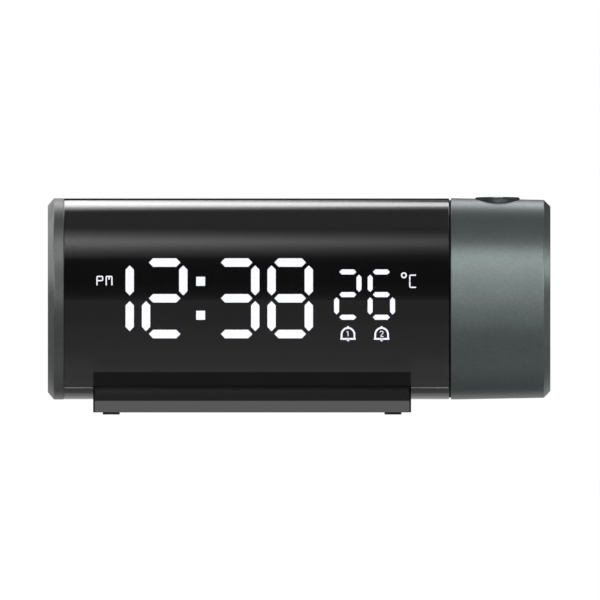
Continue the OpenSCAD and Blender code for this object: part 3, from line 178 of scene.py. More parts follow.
# The table's painted light and shade as gloss and glass see it, by the place from front to back in metres
painted_table_bands = [(-0.12, 0.28), (-0.05, 0.42), (-0.027, 0.58), (-0.018, 0.42), (-0.01, 0.27), (-0.0056, 0.27),
         (-0.0046, 0.5), (0, 0.58), (0.03, 0.56)]
share = add(tree, "ShaderNodeMapRange", {
    "Value": across.outputs["Y"], "From Min": painted_table_bands[0][0], "From Max": painted_table_bands[-1][0]})
painted_table_level = ramp(tree, share.outputs["Result"], painted_table_bands)
seen = add(tree, "ShaderNodeLightPath")
through = add(tree, "ShaderNodeMath", {
    0: seen.outputs["Is Glossy Ray"], 1: seen.outputs["Is Transmission Ray"]}, operation="MAXIMUM")
part = add(tree, "ShaderNodeMath", {0: through.outputs[0], 1: painted_table_level}, operation="MULTIPLY")
share = add(tree, "ShaderNodeMath", {0: seen.outputs["Is Camera Ray"], 1: glow_share, 2: part.outputs[0]},
            operation="MULTIPLY_ADD")
mix = add(tree, "ShaderNodeMixShader", {0: share.outputs[0], 1: matt.outputs[0], 2: glow.outputs[0]})
add(tree, "ShaderNodeOutputMaterial", {"Surface": mix.outputs[0]})
table_mesh.materials.append(laminate)

# Groups of pieces: a lamp lights the pieces of a "lit" group alone, or all but those of a "not_lit" group
head_lit, ring_lit, cap_lit, ends_lit, stand_lit, case_lit, front_off, back_off, behind_off = [
    bpy.data.collections.new(name) for name in (
        "lit_as_head", "lit_as_ring", "lit_as_cap", "lit_as_ends", "lit_as_stand", "lit_as_case",
        "not_lit_over_front", "not_lit_over_back", "not_lit_from_behind")]


def flag(group, piece, state):
    """Notes that a group's lamp lights a piece, INCLUDE, or doesn't, EXCLUDE."""
    group.objects.link(piece)
    for entry in group.collection_objects:
        entry.light_linking.link_state = state


def softbox(name, stops, group, wide=2.0, aside=0.0, taper=0.0, core=0.0, right_end=1.0, reach=1.0):
    """A lamp along the clock at a reach from its axis, with its level by the angle, for a group of pieces.

    Its level falls to the share right_end from the drum's left end to its right end.
    """
    middle = math.radians(stops[0][0] + stops[-1][0]) / 2
    data = bpy.data.lights.new(name, "AREA")
    data.shape = "RECTANGLE"
    data.size = wide
    data.size_y = 2 * reach * math.tan(math.radians(stops[-1][0] - stops[0][0]) / 2)
    data.energy = math.pi * data.size * data.size_y
    data.use_nodes = True
    tree = data.node_tree
    tree.nodes.clear()
    spot = add(tree, "ShaderNodeNewGeometry")
    way = add(tree, "ShaderNodeVectorMath", {0: spot.outputs["Position"], 1: (0, 0, axis_height)},
              operation="SUBTRACT")
    level, peak = level_at(tree, way.outputs[0], stops, taper, core)
    along = add(tree, "ShaderNodeSeparateXYZ", {"Vector": spot.outputs["Position"]})
    dim = add(tree, "ShaderNodeMapRange", {
        "Value": along.outputs["X"], "From Min": drum_left, "From Max": drum_right,
        "To Min": peak, "To Max": peak * right_end})
    glow = add(tree, "ShaderNodeEmission", {"Color": level, "Strength": dim.outputs["Result"]})
    add(tree, "ShaderNodeOutputLight", {"Surface": glow.outputs[0]})
    lamp = place(name, data)
    lamp.location = (aside, -reach * math.cos(middle), axis_height + reach * math.sin(middle))
    aim = Vector((aside, 0, axis_height)) - lamp.location
    lamp.rotation_euler = aim.to_track_quat("-Z", "Y").to_euler()
    lamp.visible_camera = False
    lamp.light_linking.receiver_collection = group


softbox("lamp_over_front", [
    (47, 0), (54, 0.5), (60, 1.15), (66, 2.1), (69, 2.25), (72, 2.1), (80, 0.9), (88, 0.1), (91, 0)],
    front_off, taper=1.5, core=69, right_end=0.45)
softbox("lamp_over_back", [
    (124, 0), (131, 0.5), (134, 2.2), (137, 3.6), (143, 2.7), (147, 1.5), (150, 0)], back_off)
softbox("lamp_over_back_left", [
    (121, 0), (126, 0.8), (131, 2.2), (134, 1.8), (137, 0.9), (143, 2.3), (150, 3.2), (155.5, 2.8),
    (157.5, 0)], back_off, taper=2.6, core=139, right_end=0.0)
softbox("lamp_head_front", [(-2, 1.5), (20, 1.75), (35, 2.55), (50, 4.1), (58, 4.2), (61, 0)], head_lit)
softbox("lamp_head_low", [(-24, 0.5), (0, 0.5)], head_lit, reach=0.09)
softbox("lamp_head_back", [(130, 0), (134, 3.0), (147, 3.4), (152, 0)], head_lit, wide=0.9)
softbox("lamp_ring", [(-2, 1.5), (20, 1.5), (30, 0)], ring_lit, wide=1.5, aside=0.45)
softbox("lamp_cap_front", [
    (-2, 1.5), (8, 1.2), (20, 0.6), (38, 0.6), (45, 2.0), (68, 2.1), (78, 0.9), (82, 0)], cap_lit)
softbox("lamp_cap_back", [(122, 0), (130, 3.1), (145, 3.1), (150, 0)], cap_lit)
softbox("lamp_stand", [(34, 0), (41, 2.3), (57, 2.3), (66, 0)], stand_lit)
softbox("lamp_case", [(90, 0), (98, 1.6), (118, 1.6), (126, 0)], case_lit)
softbox("lamp_behind", [(108, 0), (128, 3.6), (140, 3.6), (160, 0)], behind_off)
softbox("lamp_cap_behind", [(152, 0), (158, 0.9), (178, 0.9)], cap_lit, wide=2.4)
softbox("lamp_edge", [(-24, 1.5), (28, 1.5)], case_lit, reach=0.09)


def side_lamp(name, spot, wide, high, level, group):
    """A plain soft lamp beside the clock, aimed at its middle, for a group of pieces."""
    data = bpy.data.lights.new(name, "AREA")
    data.shape = "RECTANGLE"
    data.size, data.size_y = wide, high
    data.energy = math.pi * wide * high * level
    lamp = place(name, data)
    lamp.location = spot
    aim = Vector((0, 0, axis_height)) - lamp.location
    lamp.rotation_euler = aim.to_track_quat("-Z", "Y").to_euler()
    lamp.visible_camera = False
    lamp.light_linking.receiver_collection = group


side_lamp("lamp_left", (-0.97, 0.2, 0.38), wide=1.1, high=0.45, level=2.2, group=ends_lit)
side_lamp("lamp_right", (1.0, 0.1, 0.36), wide=0.5, high=0.2, level=5.0, group=head_lit)
side_lamp("lamp_front_left", (-0.75, -0.7, 0.4), wide=0.9, high=0.5, level=2.5, group=cap_lit)
side_lamp("lamp_front_right", (0.75, -0.7, 0.4), wide=0.9, high=0.5, level=2.5, group=head_lit)

for group in (front_off, back_off, behind_off):
    flag(group, table, "EXCLUDE")

# ---- Front window ----
# A curved sheet of smoked acrylic, moulded and polished, that covers the front of the drum. Its edges
# are rounded by the mould, and it clips into the rear case at its top and bottom.


def material(name):
    """A new material and its node tree, with a principled shader linked to the output."""
    made = bpy.data.materials.new(name)
    made.use_nodes = True
    made.node_tree.nodes.clear()
    shader = add(made.node_tree, "ShaderNodeBsdfPrincipled")
    add(made.node_tree, "ShaderNodeOutputMaterial", {"Surface": shader.outputs[0]})
    return made, made.node_tree, shader


def plain(piece):
    """Turns a piece with modifiers into a plain mesh, with the shading that its modifiers leave."""
    name = piece.name
    seen_as = piece.evaluated_get(bpy.context.evaluated_depsgraph_get())
    data = bpy.data.meshes.new_from_object(seen_as)
    bpy.data.objects.remove(piece)
    return place(name, data)


def rounded(node, radius, sharpest=30, steps=2, outer_only=False):
    """A merged copy of a CAD node with its edges, or its outer edges only, rounded, as one mesh."""
    shape = bmesh.new()
    shape.from_mesh(nodes[node].data)
    merge_gap, flat_limit = 3e-5, math.radians(0.3)
    bmesh.ops.remove_doubles(shape, verts=shape.verts, dist=merge_gap)
    bmesh.ops.dissolve_limit(shape, angle_limit=flat_limit, verts=shape.verts, edges=shape.edges)
    shape.verts.index_update()
    limit = math.radians(sharpest)
    corners = {frozenset(v.index for v in edge.verts): edge.is_convex for edge in shape.edges
               if edge.calc_face_angle(0) > limit}
    data = bpy.data.meshes.new(node + "_rounded")
    faces = [[v.index for v in face.verts] for face in shape.faces]
    data.from_pydata([v.co[:] for v in shape.verts], [], faces)
    shape.free()
    data.shade_smooth()
    piece = place(node + "_skin", data)
    bevel = piece.modifiers.new("rounding", "BEVEL")
    bevel.width, bevel.segments = radius, steps
    bevel.limit_method, bevel.angle_limit = "ANGLE", limit
    if outer_only:
        bevel.limit_method = "WEIGHT"
        weights = data.attributes.new("bevel_weight_edge", "FLOAT", "EDGE")
        for edge in data.edges:
            outer = corners.get(frozenset(edge.vertices))
            weights.data[edge.index].value = 1.0 if outer else 0.0
            edge.use_edge_sharp = outer is False
    bevel.use_clamp_overlap = False
    bevel.harden_normals = True
    return plain(piece)


def stand_for(piece, node, finish):
    """Gives a piece its material, and puts it in a CAD node's place."""
    piece.data.materials.clear()
    piece.data.materials.append(finish)
    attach(piece, nodes[node]["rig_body"])
    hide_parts(node)


# Acrylic dyed smoke grey, moulded and polished: a dark mirror that lets the lit digits through. Its gloss
# drifts in patches of 25 mm, as a polished surface's does.
smoked_acrylic, tree, shader = material("smoked_acrylic")
shader.inputs["Base Color"].default_value = linear("5A5A5E")
shader.inputs["Transmission Weight"].default_value = 1.0
shader.inputs["IOR"].default_value = 1.49
spot = add(tree, "ShaderNodeTexCoord").outputs["Object"]
haze = add(tree, "ShaderNodeTexNoise", {"Vector": spot, "Scale": 40.0, "Detail": 2.0})
gloss = add(tree, "ShaderNodeMapRange", {"Value": haze.outputs["Fac"], "To Min": 0.02, "To Max": 0.04})
tree.links.new(gloss.outputs["Result"], shader.inputs["Roughness"])
window = rounded("front_window", 0.00025)
stand_for(window, "front_window", smoked_acrylic)
flag(behind_off, window, "EXCLUDE")
drum_end = 0.0538  # where the drum stops beside the head
rim_start = drum_end + 0.00005


def blacken(piece, finish):
    """Gives the rim that stands out of the drum's end into the head a matt black finish, painted shade that
    keeps the head's gap dark.
    """
    piece.data.materials.append(finish)
    for face in piece.data.polygons:
        if face.center.x > rim_start:
            face.material_index = len(piece.data.materials) - 1


# ---- Rear case ----
# The back of the drum with its key panel, one shell of black ABS with a low gloss, moulded. Four screws
# in sunk seats pull it onto the bulkheads.


def moulded(name, colour, roughness, grain, depth):
    """Moulded plastic or rubber: grain of that width and depth, with a faint drift in shade and gloss.

    Real grain is 0.05 to 0.1 mm wide, and is drawn coarser so that it shows. The drift has patches of 14 mm.
    """
    made, tree, shader = material(name)
    drift = 0.15
    spot = add(tree, "ShaderNodeTexCoord").outputs["Object"]
    pits = add(tree, "ShaderNodeTexNoise", {"Vector": spot, "Scale": 1 / grain, "Detail": 3.0})
    bump = add(tree, "ShaderNodeBump", {"Height": pits.outputs["Fac"], "Distance": depth})
    haze = add(tree, "ShaderNodeTexNoise", {"Vector": spot, "Scale": 70.0, "Detail": 3.0})
    gloss = add(tree, "ShaderNodeMapRange", {
        "Value": haze.outputs["Fac"], "To Min": roughness * (1 - drift), "To Max": roughness * (1 + drift)})
    shade = add(tree, "ShaderNodeMapRange", {
        "Value": haze.outputs["Fac"], "To Min": 1 - drift, "To Max": 1 + drift})
    tint = add(tree, "ShaderNodeVectorMath", {0: linear(colour)[:3], "Scale": shade.outputs["Result"]},
               operation="SCALE")
    tree.links.new(tint.outputs[0], shader.inputs["Base Color"])
    tree.links.new(gloss.outputs["Result"], shader.inputs["Roughness"])
    tree.links.new(bump.outputs["Normal"], shader.inputs["Normal"])
    return made


# ABS from a polished mould: deep black, with the lamps as soft streaks
glossy_abs = moulded("black_abs_low_gloss", "131313", 0.1, 0.0006, 0.0000006)
case = rounded("rear_case", 0.00026, outer_only=True)
stand_for(case, "rear_case", glossy_abs)
flag(case_lit, case, "INCLUDE")
flag(back_off, case, "EXCLUDE")
# Painted shade: matt black with no shine on the rim in the head's gap, so that the gap stays dark
gap_shade_black = moulded("painted_gap_shade", "050505", 0.9, 0.0005, 0.000004)
for piece in (window, case):
    blacken(piece, gap_shade_black)
# A painted highlight: the faces along the edge where the case meets the window are pale, a thin light line
# low on the front
case.data.materials.append(moulded("painted_edge_highlight", "C0C0C0", 0.6, 0.0003, 0.000002))
edge_highlight_slot = len(case.data.materials) - 1
seam_low, seam_high, seam_tilt = -62.2, -60.4, -58  # degrees over the front horizon
seam_reach, seam_end = 0.0354, drum_end - 0.0004
for face in case.data.polygons:
    out = Vector((-face.center.y, face.center.z - axis_height))
    way = math.degrees(math.atan2(out.y, out.x))
    tilt = math.degrees(math.atan2(face.normal.z, -face.normal.y))
    on_line = seam_low < way < seam_high and out.length > seam_reach and tilt > seam_tilt
    if on_line and face.center.x < seam_end:
        face.material_index = edge_highlight_slot

# ---- Left end cap ----
# A turned-over cover of ABS with grey metallic lacquer, sprayed after moulding. Three screws inside hold
# it to the bulkhead. The lacquer gives a soft, fine-grained shine.


def lacquer(name, colour):
    """Metallic lacquer, sprayed: a satin shine that glints in grains, with a soft unevenness.

    Real flakes are 0.02 to 0.05 mm wide, and are drawn 0.5 mm wide so that they show. The coat's shade drifts
    in patches of 11 mm, and its orange peel is 1.4 mm wide, as on a real coat.
    """
    made, tree, shader = material(name)
    flake_size = 0.0005
    spot = add(tree, "ShaderNodeTexCoord").outputs["Object"]
    flakes = add(tree, "ShaderNodeTexVoronoi", {"Vector": spot, "Scale": 1 / flake_size})
    glint = add(tree, "ShaderNodeSeparateXYZ", {"Vector": flakes.outputs["Color"]})
    drift = add(tree, "ShaderNodeTexNoise", {"Vector": spot, "Scale": 90.0, "Detail": 2.0})
    both = add(tree, "ShaderNodeMath", {0: glint.outputs["X"], 1: drift.outputs["Fac"]})
    shade = add(tree, "ShaderNodeMapRange", {
        "Value": both.outputs[0], "From Max": 2.0, "To Min": 0.86, "To Max": 1.14})
    tint = add(tree, "ShaderNodeVectorMath", {0: linear(colour)[:3], "Scale": shade.outputs["Result"]},
               operation="SCALE")
    gloss = add(tree, "ShaderNodeMapRange", {"Value": glint.outputs["Y"], "To Min": 0.32, "To Max": 0.38})
    peel = add(tree, "ShaderNodeTexNoise", {"Vector": spot, "Scale": 700.0, "Detail": 1.0})
    bump = add(tree, "ShaderNodeBump", {"Height": peel.outputs["Fac"], "Distance": 0.000002})
    tree.links.new(tint.outputs[0], shader.inputs["Base Color"])
    tree.links.new(gloss.outputs["Result"], shader.inputs["Roughness"])
    tree.links.new(bump.outputs["Normal"], shader.inputs["Normal"])
    shader.inputs["Metallic"].default_value = 0.8
    return made


cap = rounded("left_end_cap", 0.0003)
stand_for(cap, "left_end_cap", lacquer("grey_lacquer", "565757"))
for group in (cap_lit, ends_lit):
    flag(group, cap, "INCLUDE")
for group in (front_off, back_off, behind_off):
    flag(group, cap, "EXCLUDE")

# ---- Bulkheads ----
# Two discs of black ABS, moulded with their ledges and screw blocks, that hold the display, the case and the
# end cap. The projector head turns in the right one.


def finish_node(name, finish):
    """Gives a CAD node its material."""
    for slot in nodes[name].material_slots:
        slot.material = finish


# ABS from a grained mould: charcoal black, with a broad dull sheen
dull_abs = moulded("black_abs_dull", "262626", 0.5, 0.0008, 0.000004)
for name in ("left_bulkhead", "right_bulkhead"):
    finish_node(name, dull_abs)

# ---- Display ----
# A black ABS frame with a well for each segment, with milky polycarbonate diffusers pressed into the wells.
# A board of lamps lies behind them, and screws clamp it to the frame.

# Milky polycarbonate over a lamp: glows evenly on its front face, with a faint cloud of 1 mm grains
lit_diffuser, tree, shader = material("milky_polycarbonate_lit")
shader.inputs["Base Color"].default_value = linear("2A2A2C")
shader.inputs["Emission Color"].default_value = linear("FFFFFF")
shape = add(tree, "ShaderNodeNewGeometry")
facing = add(tree, "ShaderNodeSeparateXYZ", {"Vector": shape.outputs["Normal"]})
front_limit = -0.7  # a face glows where its normal points further to the front than this
front = add(tree, "ShaderNodeMath", {0: facing.outputs["Y"], 1: front_limit}, operation="LESS_THAN")
spot = add(tree, "ShaderNodeTexCoord").outputs["Object"]
grain = add(tree, "ShaderNodeTexNoise", {"Vector": spot, "Scale": 900.0})
power = add(tree, "ShaderNodeMapRange", {"Value": grain.outputs["Fac"], "To Min": 9.6, "To Max": 11.0})
strength = add(tree, "ShaderNodeMath", {0: power.outputs["Result"], 1: front.outputs[0]},
               operation="MULTIPLY")
tree.links.new(strength.outputs[0], shader.inputs["Emission Strength"])
for name in ("lit_digits", "colon_dots"):
    finish_node(name, lit_diffuser)

# The thin marks: a bar of light along each line, with its corners rounded
stroke_tree = bpy.data.node_groups.new("lit_strokes", "GeometryNodeTree")
for label, kind in (("Geometry", "Geometry"), ("Width", "Float"), ("Depth", "Float"), ("Corner", "Float"),
                    ("Finish", "Material")):
    stroke_tree.interface.new_socket(label, in_out="INPUT", socket_type="NodeSocket" + kind)
stroke_tree.interface.new_socket("Geometry", in_out="OUTPUT", socket_type="NodeSocketGeometry")
given = add(stroke_tree, "NodeGroupInput").outputs
line = add(stroke_tree, "GeometryNodeMeshToCurve", {"Mesh": given["Geometry"]})
soft = add(stroke_tree, "GeometryNodeFilletCurve", {
    "Curve": line.outputs[0], "Count": 4, "Radius": given["Corner"], "Limit Radius": True}, mode="POLY")
level = add(stroke_tree, "GeometryNodeSetCurveNormal", {"Curve": soft.outputs[0]}, mode="Z_UP")
section = add(stroke_tree, "GeometryNodeCurvePrimitiveQuadrilateral", {
    "Width": given["Width"], "Height": given["Depth"]})
swept = add(stroke_tree, "GeometryNodeCurveToMesh", {
    "Curve": level.outputs[0], "Profile Curve": section.outputs[0], "Fill Caps": True})
real = add(stroke_tree, "GeometryNodeRealizeInstances", {"Geometry": swept.outputs[0]})
done = add(stroke_tree, "GeometryNodeSetMaterial", {"Geometry": real.outputs[0], "Material": given["Finish"]})
add(stroke_tree, "NodeGroupOutput", {0: done.outputs[0]})


def arc(x, y, radius, start, end, steps):
    """Points along an arc, in millimetres, with its angles in degrees."""
    turns = [math.radians(start + (end - start) * i / steps) for i in range(steps + 1)]
    return [(x + radius * math.cos(turn), y + radius * math.sin(turn)) for turn in turns]


# The letters PM, a degree ring with a C, and two bells with the alarms' numbers, in millimetres from the
# middle of the model: each entry is the stroke's width and its lines
marks = [
    (0.46, [[(-72.46, 4.6), (-72.46, 7.72), (-70.44, 7.72), (-70.44, 6.24), (-72.46, 6.24)],
            [(-69.15, 4.6), (-69.15, 7.72), (-67.11, 7.72), (-67.11, 4.6)], [(-68.13, 7.72), (-68.13, 6.6)],
            [(41.9, 8.17), (39.69, 8.17), (39.69, 6.2)], [(39.69, 5.98), (39.69, 3.87), (41.9, 3.87)]]),
    (0.5, [arc(37.56, 8.12, 0.82, 0, 360, 24)])]
bell_radius, bell_middle, bell_foot, bell_brim = 2.3, -12.77, -14.3, 2.75
for x, number in ((17.53, [(-0.5, -11.95), (0.03, -11.6), (0.03, -13.4)]),
                  (29.58, [(-0.6, -12.05), (-0.35, -11.6), (0.3, -11.6), (0.6, -12.0), (0.3, -12.55),
                           (-0.6, -13.45), (0.68, -13.45)])):
    dome = arc(x, bell_middle, bell_radius, 180, 0, 14)
    clapper = arc(x, -14.6, 0.32, 0, 360, 12)
    marks.append((0.62, [[(x - bell_radius, bell_foot)] + dome + [(x + bell_radius, bell_foot)],
                         [(x - bell_brim, bell_foot), (x + bell_brim, bell_foot)], [(x, -10.4), (x, -9.85)],
                         clapper]))
    marks.append((0.28, [[(x + along, up) for along, up in number]]))
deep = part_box("display_icons")
display_rise = 0.0009  # of the marks' zero line over the drum's axis
middle, rise = (deep[0][1] + deep[1][1]) / 2, axis_height + display_rise
icons = bmesh.new()
for width, lines in marks:
    points, edges = [], []
    for line in lines:
        closed = (Vector(line[0]) - Vector(line[-1])).length < 1e-6
        run = line[:-1] if closed else line
        first = len(points)
        points += [(along / 1000, up / 1000, 0) for along, up in run]
        edges += [(first + i, first + i + 1) for i in range(len(run) - 1)]
        if closed:
            edges.append((first + len(run) - 1, first))
    data = bpy.data.meshes.new("strokes")
    data.from_pydata(points, edges, [])
    piece = place("strokes", data)
    maker = piece.modifiers.new("strokes", "NODES")
    maker.node_group = stroke_tree
    sockets = [s for s in stroke_tree.interface.items_tree if s.in_out == "INPUT"][1:]
    bar = (width / 1000, deep[1][1] - deep[0][1], width / 1500)  # width, depth and corner radius, in metres
    for socket, value in zip(sockets, (*bar, lit_diffuser)):
        maker[socket.identifier] = value
    piece = plain(piece)
    piece.data.transform(Matrix(((1, 0, 0, 0), (0, 0, -1, middle), (0, 1, 0, rise), (0, 0, 0, 1))))
    icons.from_mesh(piece.data)
    bpy.data.objects.remove(piece)
data = bpy.data.meshes.new("icon_strokes")
icons.to_mesh(data)
icons.free()
stand_for(place("icon_strokes", data), "display_icons", lit_diffuser)
# Polycarbonate over a lamp that is off, and ABS from a sand-blasted mould: both vanish behind the window
finish_node("unlit_digits", moulded("smoked_polycarbonate", "080808", 0.6, 0.0006, 0.000001))
finish_node("display_frame", moulded("matt_black_abs", "060606", 0.9, 0.0005, 0.00001))

# Glass fibre board under green lacquer: a soft shine, with copper tracks 2 mm apart that show through
glass_fibre, tree, shader = material("solder_mask_green")
spot = add(tree, "ShaderNodeTexCoord").outputs["Object"]
tracks = add(tree, "ShaderNodeTexBrick", {
    "Vector": spot, "Scale": 110.0, "Color1": linear("0B3A20"), "Color2": linear("0F4728"),
    "Mortar": linear("2E7A48"), "Mortar Size": 0.06, "Brick Width": 0.9, "Row Height": 0.22})
tree.links.new(tracks.outputs["Color"], shader.inputs["Base Color"])
shader.inputs["Roughness"].default_value = 0.35
for name in ("display_board", "main_board", "head_board"):
    finish_node(name, glass_fibre)
# Cast resin with phosphor: small wet-looking yellow windows
finish_node("display_leds", moulded("yellow_resin", "D9CC73", 0.2, 0.0004, 0.000001))

# ---- Circuit parts ----
# What the main board carries: the chip, the small parts, the key switches, the socket, the buzzer and
# the cell with its holder, each soldered to the board, and the two leads that run from it.
for node, name, colour, roughness, grain, depth in (
        ("processor_chip", "epoxy_black", "101010", 0.45, 0.0003, 0.000003),  # pressed resin: dull as slate
        ("board_parts", "component_grey", "4A4A4E", 0.4, 0.0005, 0.000002),  # fired ceramic: an even grey
        ("tact_switches", "switch_nylon", "3A3A3C", 0.5, 0.0005, 0.000002),  # moulded nylon: soft and waxy
        ("buzzer", "buzzer_case", "161616", 0.45, 0.0006, 0.000003),  # moulded polyester: black, half matt
        ("battery_holder", "holder_nylon", "1C1C1C", 0.5, 0.0006, 0.000003),  # moulded nylon: soft and waxy
        ("display_ribbon", "ribbon_pvc", "B4B4AE", 0.45, 0.0012, 0.00004),  # drawn PVC: pale, with ridges
        ("projector_cable", "cable_pvc", "0C0C0C", 0.5, 0.0006, 0.000004)):  # drawn PVC: black, half matt
    finish_node(node, moulded(name, colour, roughness, grain, depth))


def rolled(name, colour, roughness):
    """Rolled or drawn metal: a streaky shine along fine lines in X.

    Real lines are 0.01 to 0.05 mm wide, and are drawn 0.15 mm wide and 4 mm long so that they show.
    """
    length, width = 0.004, 0.00015
    made, tree, shader = material(name)
    spot = add(tree, "ShaderNodeTexCoord").outputs["Object"]
    turned = add(tree, "ShaderNodeMapping", {"Vector": spot, "Scale": (1 / length, 1 / width, 1 / width)})
    lines = add(tree, "ShaderNodeTexNoise", {"Vector": turned.outputs["Vector"], "Scale": 1.0, "Detail": 2.0})
    gloss = add(tree, "ShaderNodeMapRange", {
        "Value": lines.outputs["Fac"], "To Min": roughness * 0.75, "To Max": roughness * 1.25})
    bump = add(tree, "ShaderNodeBump", {"Height": lines.outputs["Fac"], "Distance": 0.000002})
    tree.links.new(gloss.outputs["Result"], shader.inputs["Roughness"])
    tree.links.new(bump.outputs["Normal"], shader.inputs["Normal"])
    shader.inputs["Base Color"].default_value = linear(colour)
    shader.inputs["Metallic"].default_value = 1.0
    return made


# Stamped steel and drawn steel cans are bright and streaky, and the brass spring is a dull gold
stand_for(rounded("power_socket", 0.00008), "power_socket", rolled("stamped_steel", "C4C4C8", 0.25))
finish_node("cell_contact", rolled("sprung_brass", "D9C07A", 0.3))
finish_node("coin_cell", rolled("polished_can_steel", "D0D0D4", 0.18))

# ---- Stand ----
# A low cradle of black ABS under the drum, with a flat bottom plate and four rubber feet. Two screws hold
# it to the case from below and four flat screws hold the plate.

# ABS from a polished mould, ABS from a grained one, and rubber: glossy black, dull black, and dry soft black
stand_abs = moulded("black_abs_stand", "0C0C0C", 0.15, 0.0006, 0.0000008)
cradle = rounded("stand_cradle", 0.00015, sharpest=8, outer_only=True)
stand_for(cradle, "stand_cradle", stand_abs)
plate = rounded("stand_plate", 0.00015)
stand_for(plate, "stand_plate", moulded("black_abs_plate", "141414", 0.45, 0.0008, 0.000004))
feet = rounded("stand_feet", 0.00015)
stand_for(feet, "stand_feet", moulded("foot_rubber_black", "171717", 0.8, 0.0007, 0.00002))
for piece in (cradle, plate, feet):
    piece.visible_glossy = False
    flag(stand_lit, piece, "INCLUDE")
    flag(front_off, piece, "EXCLUDE")

# ---- Projector head ----
# The shell and the focus ring of ABS with green-grey metallic lacquer. A base disc of black ABS closes the
# shell, and a nylon washer and a screwed retainer hold its spigot in the bulkhead.
green_lacquer = lacquer("green_grey_lacquer", "545C5B")
shell = rounded("head_shell", 0.0003)
stand_for(shell, "head_shell", green_lacquer)
ring = rounded("focus_ring", 0.0001)
stand_for(ring, "focus_ring", green_lacquer)
for group, piece in ((head_lit, shell), (ends_lit, shell), (ring_lit, ring)):
    flag(group, piece, "INCLUDE")
for group in (front_off, back_off, behind_off):
    for piece in (shell, ring):
        flag(group, piece, "EXCLUDE")
finish_node("head_base", dull_abs)
# Moulded nylon, dyed and natural: waxy, grey and bone white
finish_node("pivot_retainer", moulded("retainer_nylon", "4C4C4C", 0.5, 0.0006, 0.000003))
finish_node("friction_washer", moulded("washer_nylon_natural", "D2CEB8", 0.5, 0.0006, 0.000003))

# ---- Projector optics ----
# A tube of matt black ABS, screwed in the head, with the lamp on its board and heat sink, the image panel
# and the lenses. The barrel slides in the tube's neck to focus.

# ABS from a grained mould: black and dull, so that no stray light comes back
finish_node("optics_tube", moulded("optics_abs_matt", "0E0E0E", 0.7, 0.0005, 0.000004))
barrel_abs = moulded("barrel_abs_matt", "0C0C0C", 0.5, 0.0005, 0.000003)
stand_for(rounded("lens_barrel", 0.0001), "lens_barrel", barrel_abs)
# Aluminium pressed through a die: grey, with long soft lines
finish_node("heat_sink", rolled("extruded_aluminium", "CACACC", 0.35))
for node, name, colour, roughness, grain, depth in (
        ("lamp_board", "white_solder_mask", "E4E4E0", 0.35, 0.0006, 0.000002),  # lacquered board: soft white
        ("lamp_flex", "amber_polyimide", "A86A28", 0.25, 0.0008, 0.000002),  # cast film: glossy amber
        ("lamp", "phosphor_resin", "E8DC96", 0.2, 0.0005, 0.000002),  # cast resin: a wet yellow drop
        ("image_panel", "liquid_crystal_panel", "20242A", 0.08, 0.002, 0.0000002)):  # glass: a dark mirror
    finish_node(node, moulded(name, colour, roughness, grain, depth))
# Ground and polished glass: clear, with a haze of 5 mm patches. The outer lens has a dark coat, so that the
# dome in the ring looks nearly black.
for node, name, colour in (("projection_lens", "tinted_glass", "66706E"),
                           ("condenser_lens", "clear_glass", "EEF4F6")):
    optical_glass, tree, shader = material(name)
    shader.inputs["Base Color"].default_value = linear(colour)
    shader.inputs["Transmission Weight"].default_value = 1.0
    shader.inputs["IOR"].default_value = 1.52
    spot = add(tree, "ShaderNodeTexCoord").outputs["Object"]
    haze = add(tree, "ShaderNodeTexNoise", {"Vector": spot, "Scale": 200.0})
    gloss = add(tree, "ShaderNodeMapRange", {"Value": haze.outputs["Fac"], "To Min": 0.0, "To Max": 0.02})
    tree.links.new(gloss.outputs["Result"], shader.inputs["Roughness"])
    finish_node(node, optical_glass)

# ---- Keys and battery lid ----
# Seven sprung keys of dark grey ABS that stand out of the panel, each over its switch, and a round lid of
# black ABS with a coin slot that twists into the case over the backup cell. All are moulded.

# ABS from a grained mould: dark grey and black, with a dull sheen and soft edges
key_abs = moulded("dark_grey_abs_keys", "2C2C2E", 0.4, 0.0007, 0.000004)
for name in ("key_snooze", "key_projector", "key_set", "key_up", "key_down", "key_alarm_1", "key_alarm_2"):
    stand_for(rounded(name, 0.00035, steps=3, outer_only=True), name, key_abs)
lid_abs = moulded("black_abs_lid", "1E1E1E", 0.35, 0.0007, 0.000004)
stand_for(rounded("battery_lid", 0.00025), "battery_lid", lid_abs)

# ---- Screws ----
# Cross-headed screws of zinc-plated or blackened steel, cold-headed and rolled, as domed heads with a
# cross recess on plain shanks. Those that hold the bottom plate have flat heads.

# Zinc on rolled steel is bright and cool, and blackened steel is a dark grey with a soft shine
zinc_steel = rolled("zinc_plated_steel", "BEBEC4", 0.3)
black_steel = rolled("blackened_steel", "5C5C60", 0.35)


def solids(node):
    """The lowest and highest corners of each separate solid in a CAD node, in a fixed order."""
    shape = bmesh.new()
    shape.from_mesh(nodes[node].data)
    bmesh.ops.remove_doubles(shape, verts=shape.verts, dist=1e-6)
    shape.verts.index_update()
    left, found = set(range(len(shape.verts))), []
    shape.verts.ensure_lookup_table()
    while left:
        todo, points = [left.pop()], []
        while todo:
            vertex = shape.verts[todo.pop()]
            points.append(vertex.co.copy())
            for edge in vertex.link_edges:
                other = edge.other_vert(vertex).index
                if other in left:
                    left.remove(other)
                    todo.append(other)
        found.append([Vector([pick(p[i] for p in points) for i in range(3)]) for pick in (min, max)])
    shape.free()
    return sorted(found, key=lambda corners: tuple(corners[0]))


